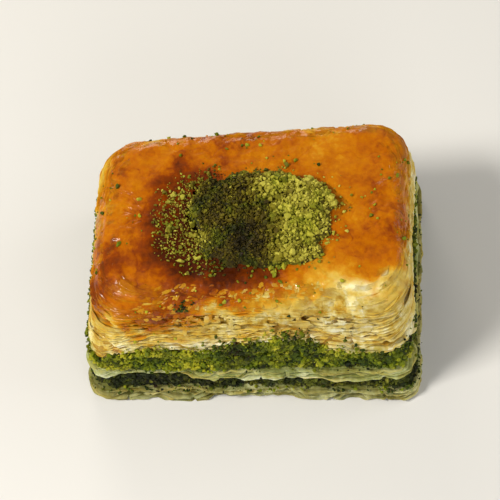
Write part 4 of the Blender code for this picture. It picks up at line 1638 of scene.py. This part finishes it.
# %% [markdown]
# ## Floor and light
#
# The piece stands on a plain pale floor under soft studio light. The key lamp is high at the left and
# draws the gloss on the crust. Wide lamps at the front and the right fill the cut sides, and a low one
# at the back draws the rear edge. Sizes and places are in metres.

# %% Floor, lamps and surroundings
FLOOR_SIZE = 3.0
FLOOR_DROP = 0.02 * MM
FLOOR_COLOUR = (214, 213, 210)
SURROUNDINGS_COLOUR = (1.0, 0.97, 0.9, 1.0)
SURROUNDINGS_STRENGTH = 0.22
WHITE = (1.0, 0.99, 0.97)
LAMPS = {
    "key_lamp": {"place": (-0.24, -0.10, 0.36), "size": 0.11, "power": 1.86, "colour": (1.0, 0.96, 0.89)},
    "front_lamp": {"place": (0.16, -0.36, 0.16), "size": 0.3, "power": 0.62, "colour": WHITE},
    "right_lamp": {"place": (0.36, 0.06, 0.20), "size": 0.3, "power": 0.55, "colour": WHITE},
    "back_lamp": {"place": (-0.12, 0.42, 0.15), "size": 0.2, "power": 0.75, "colour": (1.0, 0.93, 0.8)},
}


def add_floor():
    """A plain floor, which isn't part of the piece."""
    bpy.ops.mesh.primitive_plane_add(size=FLOOR_SIZE, location=(0, 0, -FLOOR_DROP))
    floor = bpy.context.object
    floor.name = "floor"
    finish = Finish("pale_floor")
    finish.set("Base Color", linear(FLOOR_COLOUR))
    finish.set("Roughness", 0.7)
    floor.data.materials.append(finish.material)


def add_lamp(name, place, size, power, colour):
    """A square lamp that faces the piece."""
    lamp = bpy.data.lights.new(name, "AREA")
    lamp.shape = "SQUARE"
    lamp.size = size
    lamp.energy = power
    lamp.color = colour
    holder = bpy.data.objects.new(name, lamp)
    holder.location = place
    holder.rotation_euler = (-Vector(place)).to_track_quat("-Z", "Y").to_euler()
    holder.visible_camera = False
    bpy.context.scene.collection.objects.link(holder)


add_floor()
for name, lamp in LAMPS.items():
    add_lamp(name, **lamp)
world = bpy.data.worlds.new("studio")
world.use_nodes = True
surroundings = world.node_tree.nodes["Background"]
surroundings.inputs["Color"].default_value = SURROUNDINGS_COLOUR
surroundings.inputs["Strength"].default_value = SURROUNDINGS_STRENGTH
bpy.context.scene.world = world
bpy.context.scene.view_settings.view_transform = "Standard"
print("lamps:", ", ".join(LAMPS))

# %% [markdown]
# ## Camera
#
# The camera stands where the photo was taken from: steeply above the piece and a little to its right.
# It is rolled so that the front edge lies level. A long lens fills the picture with the piece.

# %% Camera
CAMERA_AZIMUTH = math.radians(13.5)
CAMERA_ELEVATION = math.radians(62.7)
CAMERA_DISTANCE = 0.273
CAMERA_ROLL = math.radians(-12.6)
CAMERA_LENS = 132.0

camera_data = bpy.data.cameras.new("camera")
camera_data.lens = CAMERA_LENS
camera = bpy.data.objects.new("camera", camera_data)
middle = (packed_low + packed_high) / 2
back = Vector((
    math.sin(CAMERA_AZIMUTH) * math.cos(CAMERA_ELEVATION),
    -math.cos(CAMERA_AZIMUTH) * math.cos(CAMERA_ELEVATION),
    math.sin(CAMERA_ELEVATION),
))
camera.location = middle + back * CAMERA_DISTANCE
aim = (-back).to_track_quat("-Z", "Y").to_matrix().to_4x4()
roll = Matrix.Rotation(CAMERA_ROLL, 4, Vector((0, 0, 1)))
camera.rotation_euler = (aim @ roll).to_euler()
bpy.context.scene.collection.objects.link(camera)
bpy.context.scene.camera = camera
print("the camera stands", round((camera.location - middle).length, 3), "m from the piece")
